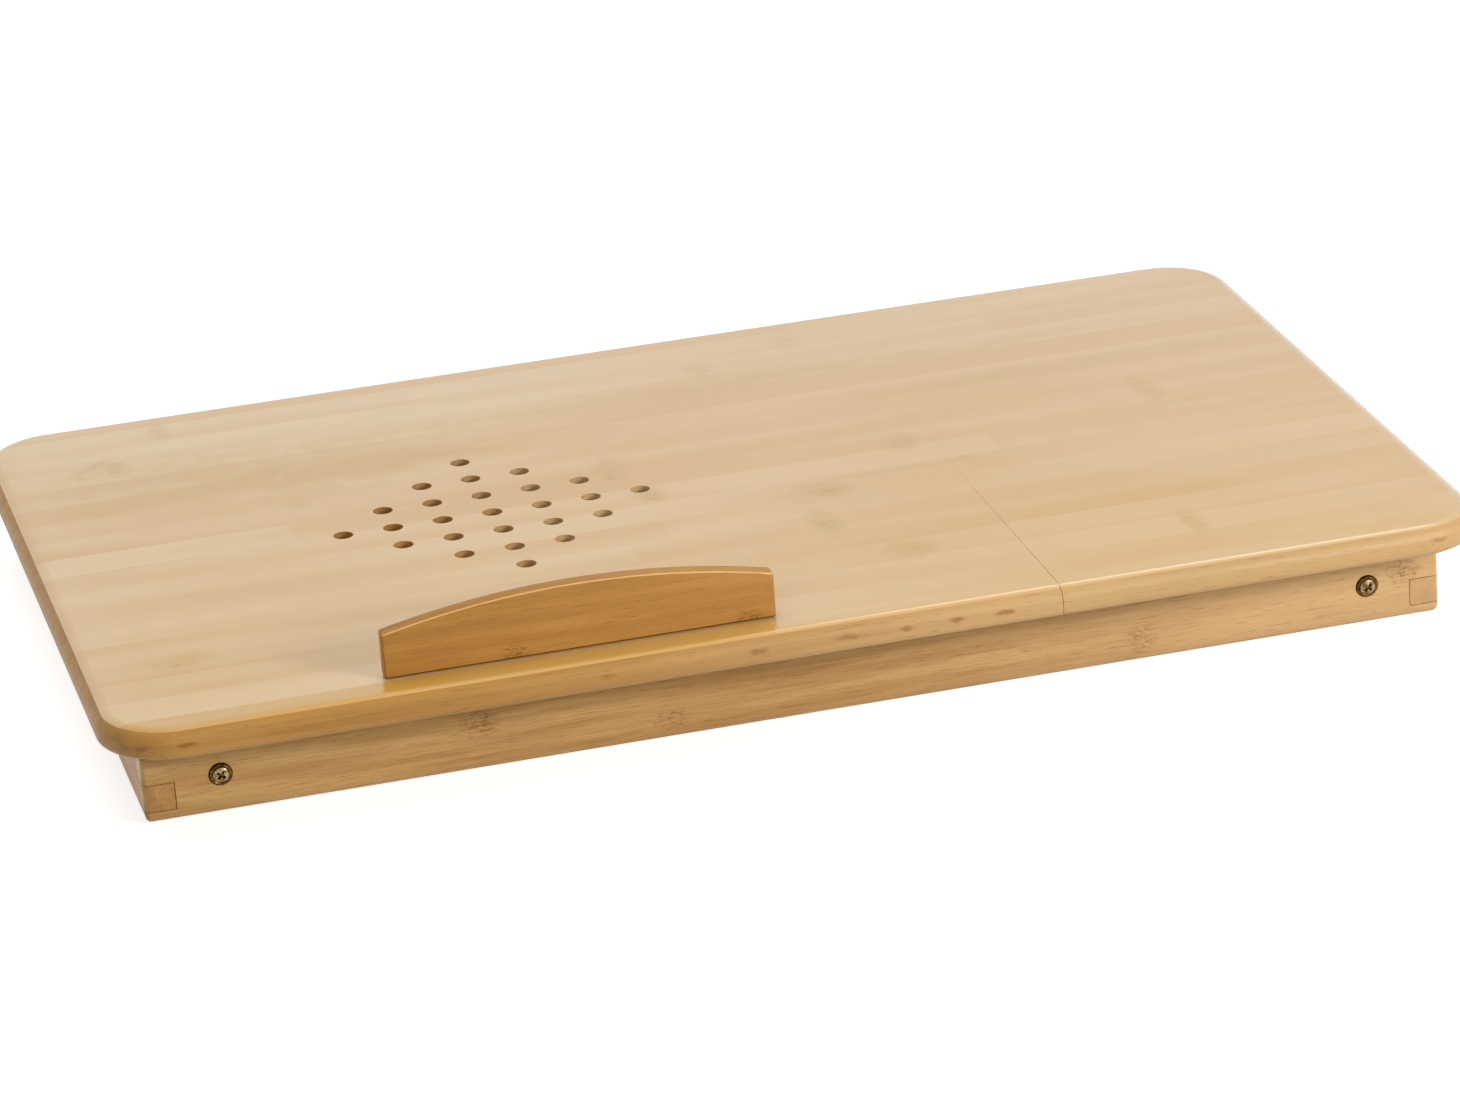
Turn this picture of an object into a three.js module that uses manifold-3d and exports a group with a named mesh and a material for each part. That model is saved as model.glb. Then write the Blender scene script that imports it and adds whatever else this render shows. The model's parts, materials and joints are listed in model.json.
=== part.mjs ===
// Folding laptop table: a tilting board and a fixed side board on a finger-jointed frame,
// with folding legs, a notched prop under the tilting board and a drawer in the right side.
// Millimetres, +Z up. The origin is under the middle of the folded table, on the surface it lies on.
// The user sits at -Y. The fixed side board and the drawer are at +X.
import * as THREE from "three";
import { mergeVertices } from "three/addons/utils/BufferGeometryUtils.js";
import Module from "manifold-3d";

const wasm = await Module();
wasm.setup();

// Fits
const clearance = 0.3;
const runningFit = 0.1;
const drawerSlack = 0.5;
const cutOverrun = 1;

// Top boards
const boardWidth = 550;
const boardDepth = 350;
const boardThickness = 12;
const boardCornerRadius = 30;
const topRoundover = 6.5;
const underRoundover = 3;
const tiltingBoardWidth = 372;
const seamGap = 0.6;

// Vent holes, a diamond on a square grid
const ventDiameter = 8;
const ventPitch = 20.5;
const ventFromFront = 173.5;
const ventRowsEachWay = 3;

// Book stop and its dowels
const stopLength = 153;
const stopThickness = 7;
const stopEndHeight = 17.8;
const stopCrownHeight = 26.5;
const stopFromFront = 17;
const stopArris = 0.8;
const dowelDiameter = 4;
const dowelLength = 16;
const dowelSpacing = 100;

// Frame rails
const sideOverhang = 15;
const frontOverhang = 27.5;
const railHeight = 35;
const railThickness = 12;
const frameCornerRadius = 2;
const frameFootRoundover = 3;
const fingerHeight = 11;
const fingerFromBottom = 4.5;
const dividerThickness = 14;

// Folding legs
const pivotFromRailEnd = 30;
const pivotFromRailTop = 19.2;
const legWidth = 20;
const legThickness = 12;
const legArris = 1.5;
const footGap = 40;
const footCornerRadius = 2.5;
const legHeadroom = 1.2;
const shoulderGap = 2;
const stretcherWidth = 20;
const stretcherThickness = 8;
const stretcherFromFoot = 45;
const tenonWidth = 13;
const tenonThickness = 4;
const legStopDepth = 15;
const legStopHeight = 12;
const legStopFromBottom = 1;

// Pivot screws, washers and nuts
const screwDiameter = 4;
const screwTip = 0.6;
const headDiameter = 8.8;
const headHeight = 2.6;
const headRim = 0.7;
const counterboreDepth = 1.2;
const recessLength = 4.4;
const recessWidth = 1.1;
const recessDepth = 1.4;
const washerDiameter = 10;
const washerThickness = 1.2;
const nutAcrossFlats = 7;
const nutThickness = 3.2;

// Board hinges
const hingeLength = 40;
const hingeFromBoardEnd = 73;
const leafThickness = 1.2;
const leafDepth = 8;
const hingePinDiameter = 2.4;

// Prop under the tilting board, and the notched racks that hold its foot
const footToBackRail = 30;
const propAxisDrop = 5.2;
const armDepth = 9;
const armThickness = 8;
const armArris = 1;
const rodDiameter = 5;
const rodOverhang = 1;
const propPinDiameter = 4;
const bracketDepth = 11;
const bracketThickness = 7;
const bracketToRack = 2;
const propStretcherFromPin = 60;
const propStretcherWidth = 12;
const propStretcherThickness = 6;
const rackSpacing = 164;
const rackWidth = 10;
const notchDepth = 3.3;
const toothLand = 1;
const troughMargin = 3;

// Drawer and runners
const drawerOpeningToRailEnd = 47.5;
const drawerSill = 8;
const drawerSideFromTop = 4.8;
const drawerWall = 7;
const drawerBottomThickness = 3;
const drawerBottomLift = 2.5;
const grooveDepth = 3;
const drawerBackGap = 10;
const fingerNotchRadius = 12;
const runnerFromBottom = 1.5;
const runnerShelf = 12;
const guideThickness = 6;

// Angles
const legOpenAngle = THREE.MathUtils.degToRad(95);
const notchTilts = [30, 25, 19, 12].map(THREE.MathUtils.degToRad);

// Facets round a quarter turn or a whole hole
const cornerSteps = 10;
const topEdgeSteps = 6;
const lowEdgeSteps = 3;
const curveSteps = 10;
const ventSides = 18;
const boreSides = 24;
const pinSides = 16;

// Places that follow from the sizes
const frameWidth = boardWidth - 2 * sideOverhang;
const frameDepth = boardDepth - 2 * frontOverhang;
const railInnerX = frameWidth / 2 - railThickness;
const railInnerY = frameDepth / 2 - railThickness;
const boardUnderside = railHeight + clearance;
const boardTop = boardUnderside + boardThickness;
const seamX = tiltingBoardWidth - boardWidth / 2;
const tiltCentreX = seamX - tiltingBoardWidth / 2;
const hingeOffset = tiltingBoardWidth / 2 - hingeFromBoardEnd;
const dividerLeftX = seamX - dividerThickness / 2;
const dividerRightX = seamX + dividerThickness / 2;
const pivotX = frameWidth / 2 - pivotFromRailEnd;
const pivotHeight = railHeight - pivotFromRailTop;
const legLength = pivotX - footGap / 2;
const legOuterY = railInnerY - washerThickness - 2 * clearance;
const legInnerY = legOuterY - legThickness;
const legSplay = legOpenAngle - Math.PI / 2;
const stretcherFromPivot = legLength - stretcherFromFoot;
const overLegZ = pivotHeight + legWidth / 2 + legHeadroom;
const overStretcherZ = pivotHeight + stretcherThickness / 2 + legHeadroom;
const knuckleRadius = 2 * leafThickness + clearance;
const hingeY = -frameDepth / 2 - clearance - knuckleRadius;
const hingeZ = boardUnderside - clearance - knuckleRadius;
const propLength = (railInnerY - footToBackRail - hingeY) / 2;
const propY = hingeY + propLength;
const propZ = boardUnderside - propAxisDrop;
const rackInnerOffset = rackSpacing / 2 - rackWidth / 2;
const bracketOuterOffset = rackInnerOffset - bracketToRack;
const armOuterOffset = bracketOuterOffset - bracketThickness - clearance;
const armInnerOffset = armOuterOffset - armThickness;
const drawerOpening = frameDepth / 2 - drawerOpeningToRailEnd;
const drawerHalfWidth = drawerOpening - drawerSlack;
const drawerLowZ = drawerSill + drawerSlack;
const drawerSideTop = boardUnderside - drawerSideFromTop;
const stretcherRightX = pivotX - stretcherFromPivot + stretcherWidth / 2;
const drawerBackX = Math.max(dividerRightX, stretcherRightX) + drawerBackGap;
const drawerBottomZ = drawerLowZ + drawerBottomLift;

// Finishes
function bamboo(color) {
  return new THREE.MeshStandardMaterial({ color, roughness: 0.5, metalness: 0 });
}

function metal(color, roughness) {
  return new THREE.MeshStandardMaterial({ color, roughness, metalness: 1 });
}

const topBamboo = () => bamboo(0xdfc59b);
const frameBamboo = () => bamboo(0xc0935a);
const stopBamboo = () => bamboo(0xb47c40);
const antiqueBrass = () => metal(0x7d6238, 0.35);
const zincSteel = () => metal(0xb4b4ae, 0.4);

// Joining and cutting closed shapes
function solidOf(geometry) {
  const bare = geometry.clone();
  bare.deleteAttribute("normal");
  bare.deleteAttribute("uv");
  const merged = mergeVertices(bare);
  const vertProperties = merged.getAttribute("position").array;
  const triVerts = new Uint32Array(merged.index.array);
  return new wasm.Manifold(new wasm.Mesh({ numProp: 3, vertProperties, triVerts }));
}

function geometryOf(solid) {
  const { vertProperties, triVerts } = solid.getMesh();
  const indexed = new THREE.BufferGeometry();
  indexed.setAttribute("position", new THREE.BufferAttribute(vertProperties, 3));
  indexed.setIndex(new THREE.BufferAttribute(triVerts, 1));
  const geometry = indexed.toNonIndexed();
  geometry.computeVertexNormals();
  return geometry;
}

function cut(body, ...cutters) {
  return geometryOf(cutters.reduce((left, cutter) => left.subtract(solidOf(cutter)), solidOf(body)));
}

function join(first, ...others) {
  return geometryOf(others.reduce((whole, other) => whole.add(solidOf(other)), solidOf(first)));
}

function common(one, other) {
  return geometryOf(solidOf(one).intersect(solidOf(other)));
}

// Plain shapes, each given by where it starts and ends
function block(x, y, z) {
  const geometry = new THREE.BoxGeometry(x[1] - x[0], y[1] - y[0], z[1] - z[0]);
  return geometry.translate((x[0] + x[1]) / 2, (y[0] + y[1]) / 2, (z[0] + z[1]) / 2);
}

function extruded(outline, depth, arris) {
  const geometry = new THREE.ExtrudeGeometry(outline, {
    depth: depth - 2 * arris,
    curveSegments: curveSteps,
    bevelEnabled: arris > 0,
    bevelThickness: arris,
    bevelSize: arris,
    bevelOffset: -arris,
    bevelSegments: 2,
  });
  return geometry.translate(0, 0, arris);
}

// The outline is drawn in (y, z) and runs along X.
function prismAlongX(outline, from, to, arris = 0) {
  const turn = new THREE.Matrix4().makeBasis(
    new THREE.Vector3(0, 1, 0),
    new THREE.Vector3(0, 0, 1),
    new THREE.Vector3(1, 0, 0),
  );
  return extruded(outline, to - from, arris).applyMatrix4(turn).translate(from, 0, 0);
}

// The outline is drawn in (x, z) and runs along Y.
function prismAlongY(outline, from, to, arris = 0) {
  return extruded(outline, to - from, arris).rotateX(Math.PI / 2).translate(0, to, 0);
}

function rodAlongX(radius, from, to, y, z, sides) {
  const geometry = new THREE.CylinderGeometry(radius, radius, to - from, sides);
  return geometry.rotateZ(Math.PI / 2).translate((from + to) / 2, y, z);
}

function rodAlongY(radius, from, to, x, z, sides) {
  const geometry = new THREE.CylinderGeometry(radius, radius, to - from, sides);
  return geometry.translate(x, (from + to) / 2, z);
}

function rodAlongZ(radius, from, to, x, y, sides) {
  const geometry = new THREE.CylinderGeometry(radius, radius, to - from, sides);
  return geometry.rotateX(Math.PI / 2).translate(x, y, (from + to) / 2);
}

function polygon(points) {
  return new THREE.Shape(points.map(([u, v]) => new THREE.Vector2(u, v)));
}

// A slab with rounded corners in plan, built up from levels that each draw in from the edge.
function slab(width, depth, cornerRadius, levels) {
  const positions = [];
  const indices = [];
  const ringSize = 4 * (cornerSteps + 1);
  for (const { inset, z } of levels) {
    const radius = Math.max(cornerRadius - inset, cornerRadius / cornerSteps);
    const centreX = width / 2 - inset - radius;
    const centreY = depth / 2 - inset - radius;
    for (let corner = 0; corner < 4; corner++) {
      const signX = corner === 0 || corner === 3 ? 1 : -1;
      const signY = corner < 2 ? 1 : -1;
      for (let step = 0; step <= cornerSteps; step++) {
        const angle = (corner + step / cornerSteps) * (Math.PI / 2);
        const x = signX * centreX + radius * Math.cos(angle);
        const y = signY * centreY + radius * Math.sin(angle);
        positions.push(x, y, z);
      }
    }
  }
  for (let level = 0; level + 1 < levels.length; level++) {
    for (let i = 0; i < ringSize; i++) {
      const next = (i + 1) % ringSize;
      const low = level * ringSize;
      const high = low + ringSize;
      indices.push(low + i, low + next, high + next, low + i, high + next, high + i);
    }
  }
  const lastRing = (levels.length - 1) * ringSize;
  const lowCentre = levels.length * ringSize;
  const highCentre = lowCentre + 1;
  positions.push(0, 0, levels[0].z, 0, 0, levels[levels.length - 1].z);
  for (let i = 0; i < ringSize; i++) {
    const next = (i + 1) % ringSize;
    indices.push(lowCentre, next, i);
    indices.push(highCentre, lastRing + i, lastRing + next);
  }
  const geometry = new THREE.BufferGeometry();
  geometry.setAttribute("position", new THREE.Float32BufferAttribute(positions, 3));
  geometry.setIndex(indices);
  return geometry;
}

function lowEdgeLevels(radius) {
  return Array.from({ length: lowEdgeSteps + 1 }, (_, step) => {
    const angle = (step / lowEdgeSteps) * (Math.PI / 2);
    return { inset: radius * (1 - Math.sin(angle)), z: radius * (1 - Math.cos(angle)) };
  });
}

function topEdgeLevels(radius, height) {
  return Array.from({ length: topEdgeSteps + 1 }, (_, step) => {
    const angle = (step / topEdgeSteps) * (Math.PI / 2);
    return { inset: radius * (1 - Math.cos(angle)), z: height - radius * (1 - Math.sin(angle)) };
  });
}

function mesh(name, geometry, material, place = [0, 0, 0]) {
  const piece = new THREE.Mesh(geometry, material);
  piece.name = name;
  piece.position.set(...place);
  return piece;
}

function group(pieces, place = [0, 0, 0], turn = 0) {
  const made = new THREE.Group();
  made.add(...pieces);
  made.position.set(...place);
  made.rotation.z = turn;
  return made;
}

// Top boards: one rounded slab, sawn apart at the seam
function wholeBoard() {
  const levels = [
    ...lowEdgeLevels(underRoundover),
    ...topEdgeLevels(topRoundover, boardThickness),
  ];
  return slab(boardWidth, boardDepth, boardCornerRadius, levels).translate(0, 0, boardUnderside);
}

function boardBetween(fromX, toX) {
  const y = [-boardDepth / 2 - cutOverrun, boardDepth / 2 + cutOverrun];
  return common(wholeBoard(), block([fromX, toX], y, [0, boardTop + cutOverrun]));
}

function ventCutters() {
  const cutters = [];
  for (let column = -ventRowsEachWay; column <= ventRowsEachWay; column++) {
    const rows = ventRowsEachWay - Math.abs(column);
    for (let row = -rows; row <= rows; row++) {
      const x = tiltCentreX + column * ventPitch;
      const y = ventFromFront - boardDepth / 2 + row * ventPitch;
      cutters.push(rodAlongZ(ventDiameter / 2, 0, boardTop + cutOverrun, x, y, ventSides));
    }
  }
  return cutters;
}

const stopY = -boardDepth / 2 + stopFromFront + stopThickness / 2;
const dowelPlaces = [-1, 1].map((side) => tiltCentreX + (side * dowelSpacing) / 2);

function dowelSockets() {
  const reach = dowelLength / 2 + clearance;
  const radius = dowelDiameter / 2 + clearance;
  return dowelPlaces.map((x) =>
    rodAlongZ(radius, boardTop - reach, boardTop + reach, x, stopY, pinSides),
  );
}

function tiltingBoard() {
  const board = boardBetween(-boardWidth / 2 - cutOverrun, seamX - seamGap / 2);
  return cut(board, ...ventCutters(), ...dowelSockets());
}

function fixedBoard() {
  return boardBetween(seamX + seamGap / 2, boardWidth / 2 + cutOverrun);
}

// Book stop: a lip with an arched top that stands on the board, on two dowels
function stopOutline() {
  const half = stopLength / 2;
  const rise = stopCrownHeight - stopEndHeight;
  const archRadius = (half * half + rise * rise) / (2 * rise);
  const centreHeight = stopCrownHeight - archRadius;
  const endAngle = Math.asin((stopEndHeight - centreHeight) / archRadius);
  const outline = new THREE.Shape();
  outline.moveTo(-half, 0);
  outline.lineTo(half, 0);
  outline.absarc(0, centreHeight, archRadius, endAngle, Math.PI - endAngle, false);
  return outline;
}

function bookStop() {
  const lip = prismAlongY(stopOutline(), -stopThickness / 2, stopThickness / 2, stopArris);
  lip.translate(tiltCentreX, stopY, boardTop + clearance);
  return cut(lip, ...dowelSockets());
}

function bookStopPieces() {
  const dowel = rodAlongZ(dowelDiameter / 2, -dowelLength / 2, dowelLength / 2, 0, 0, pinSides);
  const [leftX, rightX] = dowelPlaces;
  return [
    mesh("book_stop", bookStop(), stopBamboo()),
    mesh("book_stop_dowel_left", dowel, frameBamboo(), [leftX, stopY, boardTop]),
    mesh("book_stop_dowel_right", dowel, frameBamboo(), [rightX, stopY, boardTop]),
  ];
}

// Frame: four rails whose ends lock as square fingers, all with the same eased outer edges
function frameEnvelope() {
  const levels = [...lowEdgeLevels(frameFootRoundover), { inset: 0, z: railHeight }];
  return slab(frameWidth, frameDepth, frameCornerRadius, levels);
}

const beyondFrameX = frameWidth / 2 + cutOverrun;
const beyondFrameY = frameDepth / 2 + cutOverrun;
const fingerTop = fingerFromBottom + fingerHeight;
const upperFingerLow = fingerTop + fingerHeight;
const sideRailFingers = [
  [fingerFromBottom, fingerTop],
  [upperFingerLow, railHeight + cutOverrun],
];
const longRailFingers = [
  [-cutOverrun, fingerFromBottom],
  [fingerTop, upperFingerLow],
];

// The slots that one rail's fingers need in the other rail's end
function fingerSlots(bands, x, y) {
  return bands.map(([low, high]) => block(x, y, [low - clearance / 2, high + clearance / 2]));
}

function pivotBore(side) {
  const x = side * pivotX;
  const boreRadius = screwDiameter / 2 + clearance;
  const sinkRadius = headDiameter / 2 + clearance;
  const sinkFloor = -frameDepth / 2 + counterboreDepth;
  return [
    rodAlongY(boreRadius, -beyondFrameY, -railInnerY + cutOverrun, x, pivotHeight, boreSides),
    rodAlongY(sinkRadius, -beyondFrameY, sinkFloor, x, pivotHeight, boreSides),
  ];
}

function hingeMortise(side) {
  const x = tiltCentreX + side * hingeOffset;
  const half = hingeLength / 2 + clearance;
  const back = -frameDepth / 2 + leafDepth + clearance;
  const floor = hingeZ - clearance;
  return block([x - half, x + half], [-beyondFrameY, back], [floor, railHeight + cutOverrun]);
}

// Drawn as the front rail; the back rail is the same piece turned half round.
function longRail() {
  const x = [-beyondFrameX, beyondFrameX];
  const y = [-beyondFrameY, -railInnerY];
  const rail = common(frameEnvelope(), block(x, y, [-cutOverrun, railHeight + cutOverrun]));
  const slotY = [-beyondFrameY, -railInnerY + cutOverrun];
  const innerX = railInnerX - clearance;
  return cut(
    rail,
    ...fingerSlots(sideRailFingers, [-beyondFrameX, -innerX], slotY),
    ...fingerSlots(sideRailFingers, [innerX, beyondFrameX], slotY),
    ...pivotBore(-1),
    ...pivotBore(1),
  );
}

// Drawn as the left rail; the right rail is the same piece turned half round.
function sideRail() {
  const x = [-beyondFrameX, -railInnerX];
  const y = [-beyondFrameY, beyondFrameY];
  const rail = common(frameEnvelope(), block(x, y, [-cutOverrun, railHeight + cutOverrun]));
  const slotX = [-beyondFrameX, -railInnerX + cutOverrun];
  const innerY = railInnerY - clearance;
  return cut(
    rail,
    ...fingerSlots(longRailFingers, slotX, [-beyondFrameY, -innerY]),
    ...fingerSlots(longRailFingers, slotX, [innerY, beyondFrameY]),
  );
}

function drawerNotch() {
  const x = [-beyondFrameX, -railInnerX + cutOverrun];
  const y = [-drawerOpening, drawerOpening];
  return block(x, y, [drawerSill, railHeight + cutOverrun]);
}

// The middle rail under the seam. It clears the leg stretchers, and its thinner ends the legs.
function dividerRail() {
  const end = railInnerY - clearance;
  const shoulder = legInnerY - shoulderGap;
  const outline = polygon([
    [-shoulder, overStretcherZ],
    [shoulder, overStretcherZ],
    [shoulder, overLegZ],
    [end, overLegZ],
    [end, railHeight],
    [-end, railHeight],
    [-end, overLegZ],
    [-shoulder, overLegZ],
  ]);
  return prismAlongX(outline, dividerLeftX, dividerRightX);
}

// Small blocks in the corners that the open legs lean on
function legStop(sideX, sideY) {
  const legEdge = legWidth / 2 / Math.cos(legSplay);
  const legLean = (pivotHeight - legStopFromBottom) * Math.tan(legSplay);
  const inner = pivotX + legEdge + legLean + clearance;
  const outer = railInnerX - clearance;
  const outerY = railInnerY - clearance;
  const geometry = block(
    [inner, outer],
    [outerY - legStopDepth, outerY],
    [legStopFromBottom, legStopFromBottom + legStopHeight],
  );
  return geometry.translate(sideX < 0 ? -inner - outer : 0, sideY < 0 ? legStopDepth - 2 * outerY : 0, 0);
}

function framePieces() {
  const corners = [
    ["front_left", -1, -1],
    ["front_right", 1, -1],
    ["back_left", -1, 1],
    ["back_right", 1, 1],
  ];
  const frontRail = cut(longRail(), hingeMortise(-1), hingeMortise(1));
  const rightRail = mesh("right_rail", cut(sideRail(), drawerNotch()), frameBamboo());
  const backRail = mesh("back_rail", longRail(), frameBamboo());
  return [
    mesh("front_rail", frontRail, frameBamboo()),
    mesh("left_rail", sideRail(), frameBamboo()),
    group([backRail, rightRail], [0, 0, 0], Math.PI),
    mesh("divider_rail", dividerRail(), frameBamboo()),
    mesh("fixed_top_board", fixedBoard(), topBamboo()),
    ...corners.map(([corner, sideX, sideY]) =>
      mesh("leg_stop_" + corner, legStop(sideX, sideY), frameBamboo()),
    ),
    ...corners.map(([corner, sideX, sideY]) => pivotSet(corner, sideX, sideY)),
  ];
}

// Leg pivots: a cross-recessed bolt through rail, washer and leg, with a nut inside.
// Drawn from the rail's outer face at y = 0, inwards along +Y.
function pivotScrew() {
  const headRadius = headDiameter / 2;
  const seat = counterboreDepth - clearance;
  const shank = screwDiameter / 2;
  const nutInner = frameDepth / 2 - legInnerY + clearance + nutThickness;
  const end = nutInner + cutOverrun;
  const dome = new THREE.QuadraticBezierCurve(
    new THREE.Vector2(0, seat - headHeight),
    new THREE.Vector2(headRadius, seat - headHeight),
    new THREE.Vector2(headRadius, seat - headRim),
  );
  const profile = [
    ...dome.getPoints(curveSteps / 2),
    new THREE.Vector2(headRadius, seat),
    new THREE.Vector2(shank, seat),
    new THREE.Vector2(shank, end - screwTip),
    new THREE.Vector2(shank - screwTip, end),
    new THREE.Vector2(0, end),
  ];
  const screw = new THREE.LatheGeometry(profile, boreSides);
  const recessFloor = seat - headHeight + recessDepth;
  const recessY = [seat - headHeight - cutOverrun, recessFloor];
  const long = [-recessLength / 2, recessLength / 2];
  const thin = [-recessWidth / 2, recessWidth / 2];
  return cut(screw, block(long, recessY, thin), block(thin, recessY, long));
}

function ringOutline(outerPoints, boreRadius) {
  const outline = polygon(outerPoints);
  const hole = new THREE.Path();
  hole.absarc(0, 0, boreRadius, 0, 2 * Math.PI, true);
  outline.holes.push(hole);
  return outline;
}

function regularPoints(radius, sides) {
  return Array.from({ length: sides }, (_, i) => {
    const angle = (i / sides) * 2 * Math.PI;
    return [radius * Math.cos(angle), radius * Math.sin(angle)];
  });
}

function pivotWasher() {
  const outline = ringOutline(
    regularPoints(washerDiameter / 2, boreSides),
    screwDiameter / 2 + clearance,
  );
  const from = railThickness + clearance;
  return prismAlongY(outline, from, from + washerThickness);
}

function pivotNut() {
  const cornerRadius = nutAcrossFlats / 2 / Math.cos(Math.PI / 6);
  const outline = ringOutline(regularPoints(cornerRadius, 6), screwDiameter / 2 + clearance);
  const from = frameDepth / 2 - legInnerY + clearance;
  return prismAlongY(outline, from, from + nutThickness);
}

function pivotSet(corner, sideX, sideY) {
  const pieces = [
    mesh("pivot_screw_" + corner, pivotScrew(), antiqueBrass()),
    mesh("pivot_washer_" + corner, pivotWasher(), zincSteel()),
    mesh("pivot_nut_" + corner, pivotNut(), antiqueBrass()),
  ];
  const place = [sideX * pivotX, (sideY * frameDepth) / 2, pivotHeight];
  return group(pieces, place, sideY > 0 ? Math.PI : 0);
}

// Legs, drawn folded with the pivot at the origin and the foot towards +X.
// The foot is cut so that it stands flat once the leg is open.
function legOutline() {
  const half = legWidth / 2;
  const cutBack = half * Math.tan(legSplay);
  const round = footCornerRadius;
  const outline = new THREE.Shape();
  outline.absarc(0, 0, half, Math.PI / 2, (3 * Math.PI) / 2, false);
  outline.lineTo(legLength + cutBack - round, -half);
  outline.quadraticCurveTo(legLength + cutBack, -half, legLength + cutBack, -half + round);
  outline.lineTo(legLength - cutBack, half - round);
  outline.quadraticCurveTo(legLength - cutBack, half, legLength - cutBack - round, half);
  return outline;
}

function legMortise() {
  const halfWidth = tenonWidth / 2 + clearance;
  const halfHeight = tenonThickness / 2 + clearance;
  return block(
    [stretcherFromPivot - halfWidth, stretcherFromPivot + halfWidth],
    [-beyondFrameY, beyondFrameY],
    [-halfHeight, halfHeight],
  );
}

function leg(fromY, toY) {
  const bore = rodAlongY(
    screwDiameter / 2 + runningFit,
    -beyondFrameY,
    beyondFrameY,
    0,
    0,
    boreSides,
  );
  return cut(prismAlongY(legOutline(), fromY, toY, legArris), bore, legMortise());
}

function legStretcher() {
  const from = stretcherFromPivot - stretcherWidth / 2;
  const to = stretcherFromPivot + stretcherWidth / 2;
  const half = stretcherThickness / 2;
  const shoulderY = legInnerY - clearance;
  const outline = polygon([
    [from, -half + legArris],
    [from + legArris, -half],
    [to - legArris, -half],
    [to, -half + legArris],
    [to, half - legArris],
    [to - legArris, half],
    [from + legArris, half],
    [from, half - legArris],
  ]);
  const tenon = block(
    [stretcherFromPivot - tenonWidth / 2, stretcherFromPivot + tenonWidth / 2],
    [-legOuterY, legOuterY],
    [-tenonThickness / 2, tenonThickness / 2],
  );
  return join(prismAlongY(outline, -shoulderY, shoulderY), tenon);
}

// The right pair is the left pair turned half round, so its near and far legs change places.
function legPair(side, nearEnd, farEnd, sideX, turn) {
  const pieces = [
    mesh(side + "_leg_" + nearEnd, leg(-legOuterY, -legInnerY), frameBamboo()),
    mesh(side + "_leg_" + farEnd, leg(legInnerY, legOuterY), frameBamboo()),
    mesh(side + "_leg_stretcher", legStretcher(), frameBamboo()),
  ];
  return group(pieces, [sideX * pivotX, 0, pivotHeight], turn);
}

// Butt hinges let into the front rail's top edge, drawn about their pin
function knuckle(from, to) {
  return rodAlongX(knuckleRadius, from, to, 0, 0, boreSides);
}

function hingeBore(fit) {
  const half = hingeLength / 2 + cutOverrun;
  return rodAlongX(hingePinDiameter / 2 + fit, -half, half, 0, 0, pinSides);
}

const knuckleLength = (hingeLength - 2 * clearance) / 3;
const leafRootY = knuckleRadius + clearance;
const leafEndY = leafRootY + leafDepth;

function fixedLeaf() {
  const half = hingeLength / 2;
  const z = [0, leafThickness];
  const plate = block([-half, half], [leafRootY, leafEndY], z);
  const outer = [
    [-half, -half + knuckleLength],
    [half - knuckleLength, half],
  ];
  const knuckles = outer.map(([from, to]) => knuckle(from, to));
  const webs = outer.map((x) => block(x, [0, leafEndY], z));
  return cut(join(plate, ...webs, ...knuckles), hingeBore(clearance));
}

function movingLeaf() {
  const half = hingeLength / 2;
  const z = [knuckleRadius - leafThickness, knuckleRadius];
  const plate = block([-half, half], [leafRootY, leafEndY], z);
  const middle = [-knuckleLength / 2, knuckleLength / 2];
  const web = block(middle, [0, leafEndY], z);
  return cut(join(plate, web, knuckle(...middle)), hingeBore(runningFit));
}

function hingePin() {
  return rodAlongX(hingePinDiameter / 2, -hingeLength / 2, hingeLength / 2, 0, 0, pinSides);
}

function hingePlace(side) {
  return [tiltCentreX + side * hingeOffset, hingeY, hingeZ];
}

function hingeFixedPieces(name, side) {
  return [
    mesh("hinge_fixed_leaf_" + name, fixedLeaf(), zincSteel(), hingePlace(side)),
    mesh("hinge_pin_" + name, hingePin(), zincSteel(), hingePlace(side)),
  ];
}

// Prop: two arms and a foot rod, drawn about the pins that hang it under the board
function propArm(from, to) {
  const radius = armDepth / 2;
  const outline = new THREE.Shape();
  outline.absarc(0, 0, radius, Math.PI / 2, (3 * Math.PI) / 2, false);
  outline.absarc(propLength, 0, radius, -Math.PI / 2, Math.PI / 2, false);
  const beyond = rackSpacing / 2 + rackWidth;
  const pinHole = propPinDiameter / 2 + runningFit;
  const rodHole = rodDiameter / 2 + clearance;
  return cut(
    prismAlongX(outline, from, to, armArris),
    rodAlongX(pinHole, -beyond, beyond, 0, 0, pinSides),
    rodAlongX(rodHole, -beyond, beyond, propLength, 0, pinSides),
  );
}

function propPieces() {
  const rodEnd = rackSpacing / 2 + rackWidth / 2 + rodOverhang;
  const rod = rodAlongX(rodDiameter / 2, -rodEnd, rodEnd, propLength, 0, pinSides);
  const stretcherEnd = armInnerOffset - clearance;
  const y = propStretcherFromPin;
  const stretcher = block(
    [-stretcherEnd, stretcherEnd],
    [y - propStretcherWidth / 2, y + propStretcherWidth / 2],
    [-propStretcherThickness / 2, propStretcherThickness / 2],
  );
  return [
    mesh("prop_arm_left", propArm(-armOuterOffset, -armInnerOffset), frameBamboo()),
    mesh("prop_arm_right", propArm(armInnerOffset, armOuterOffset), frameBamboo()),
    mesh("prop_rod", rod, frameBamboo()),
    mesh("prop_stretcher", stretcher, frameBamboo()),
  ];
}

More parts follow.
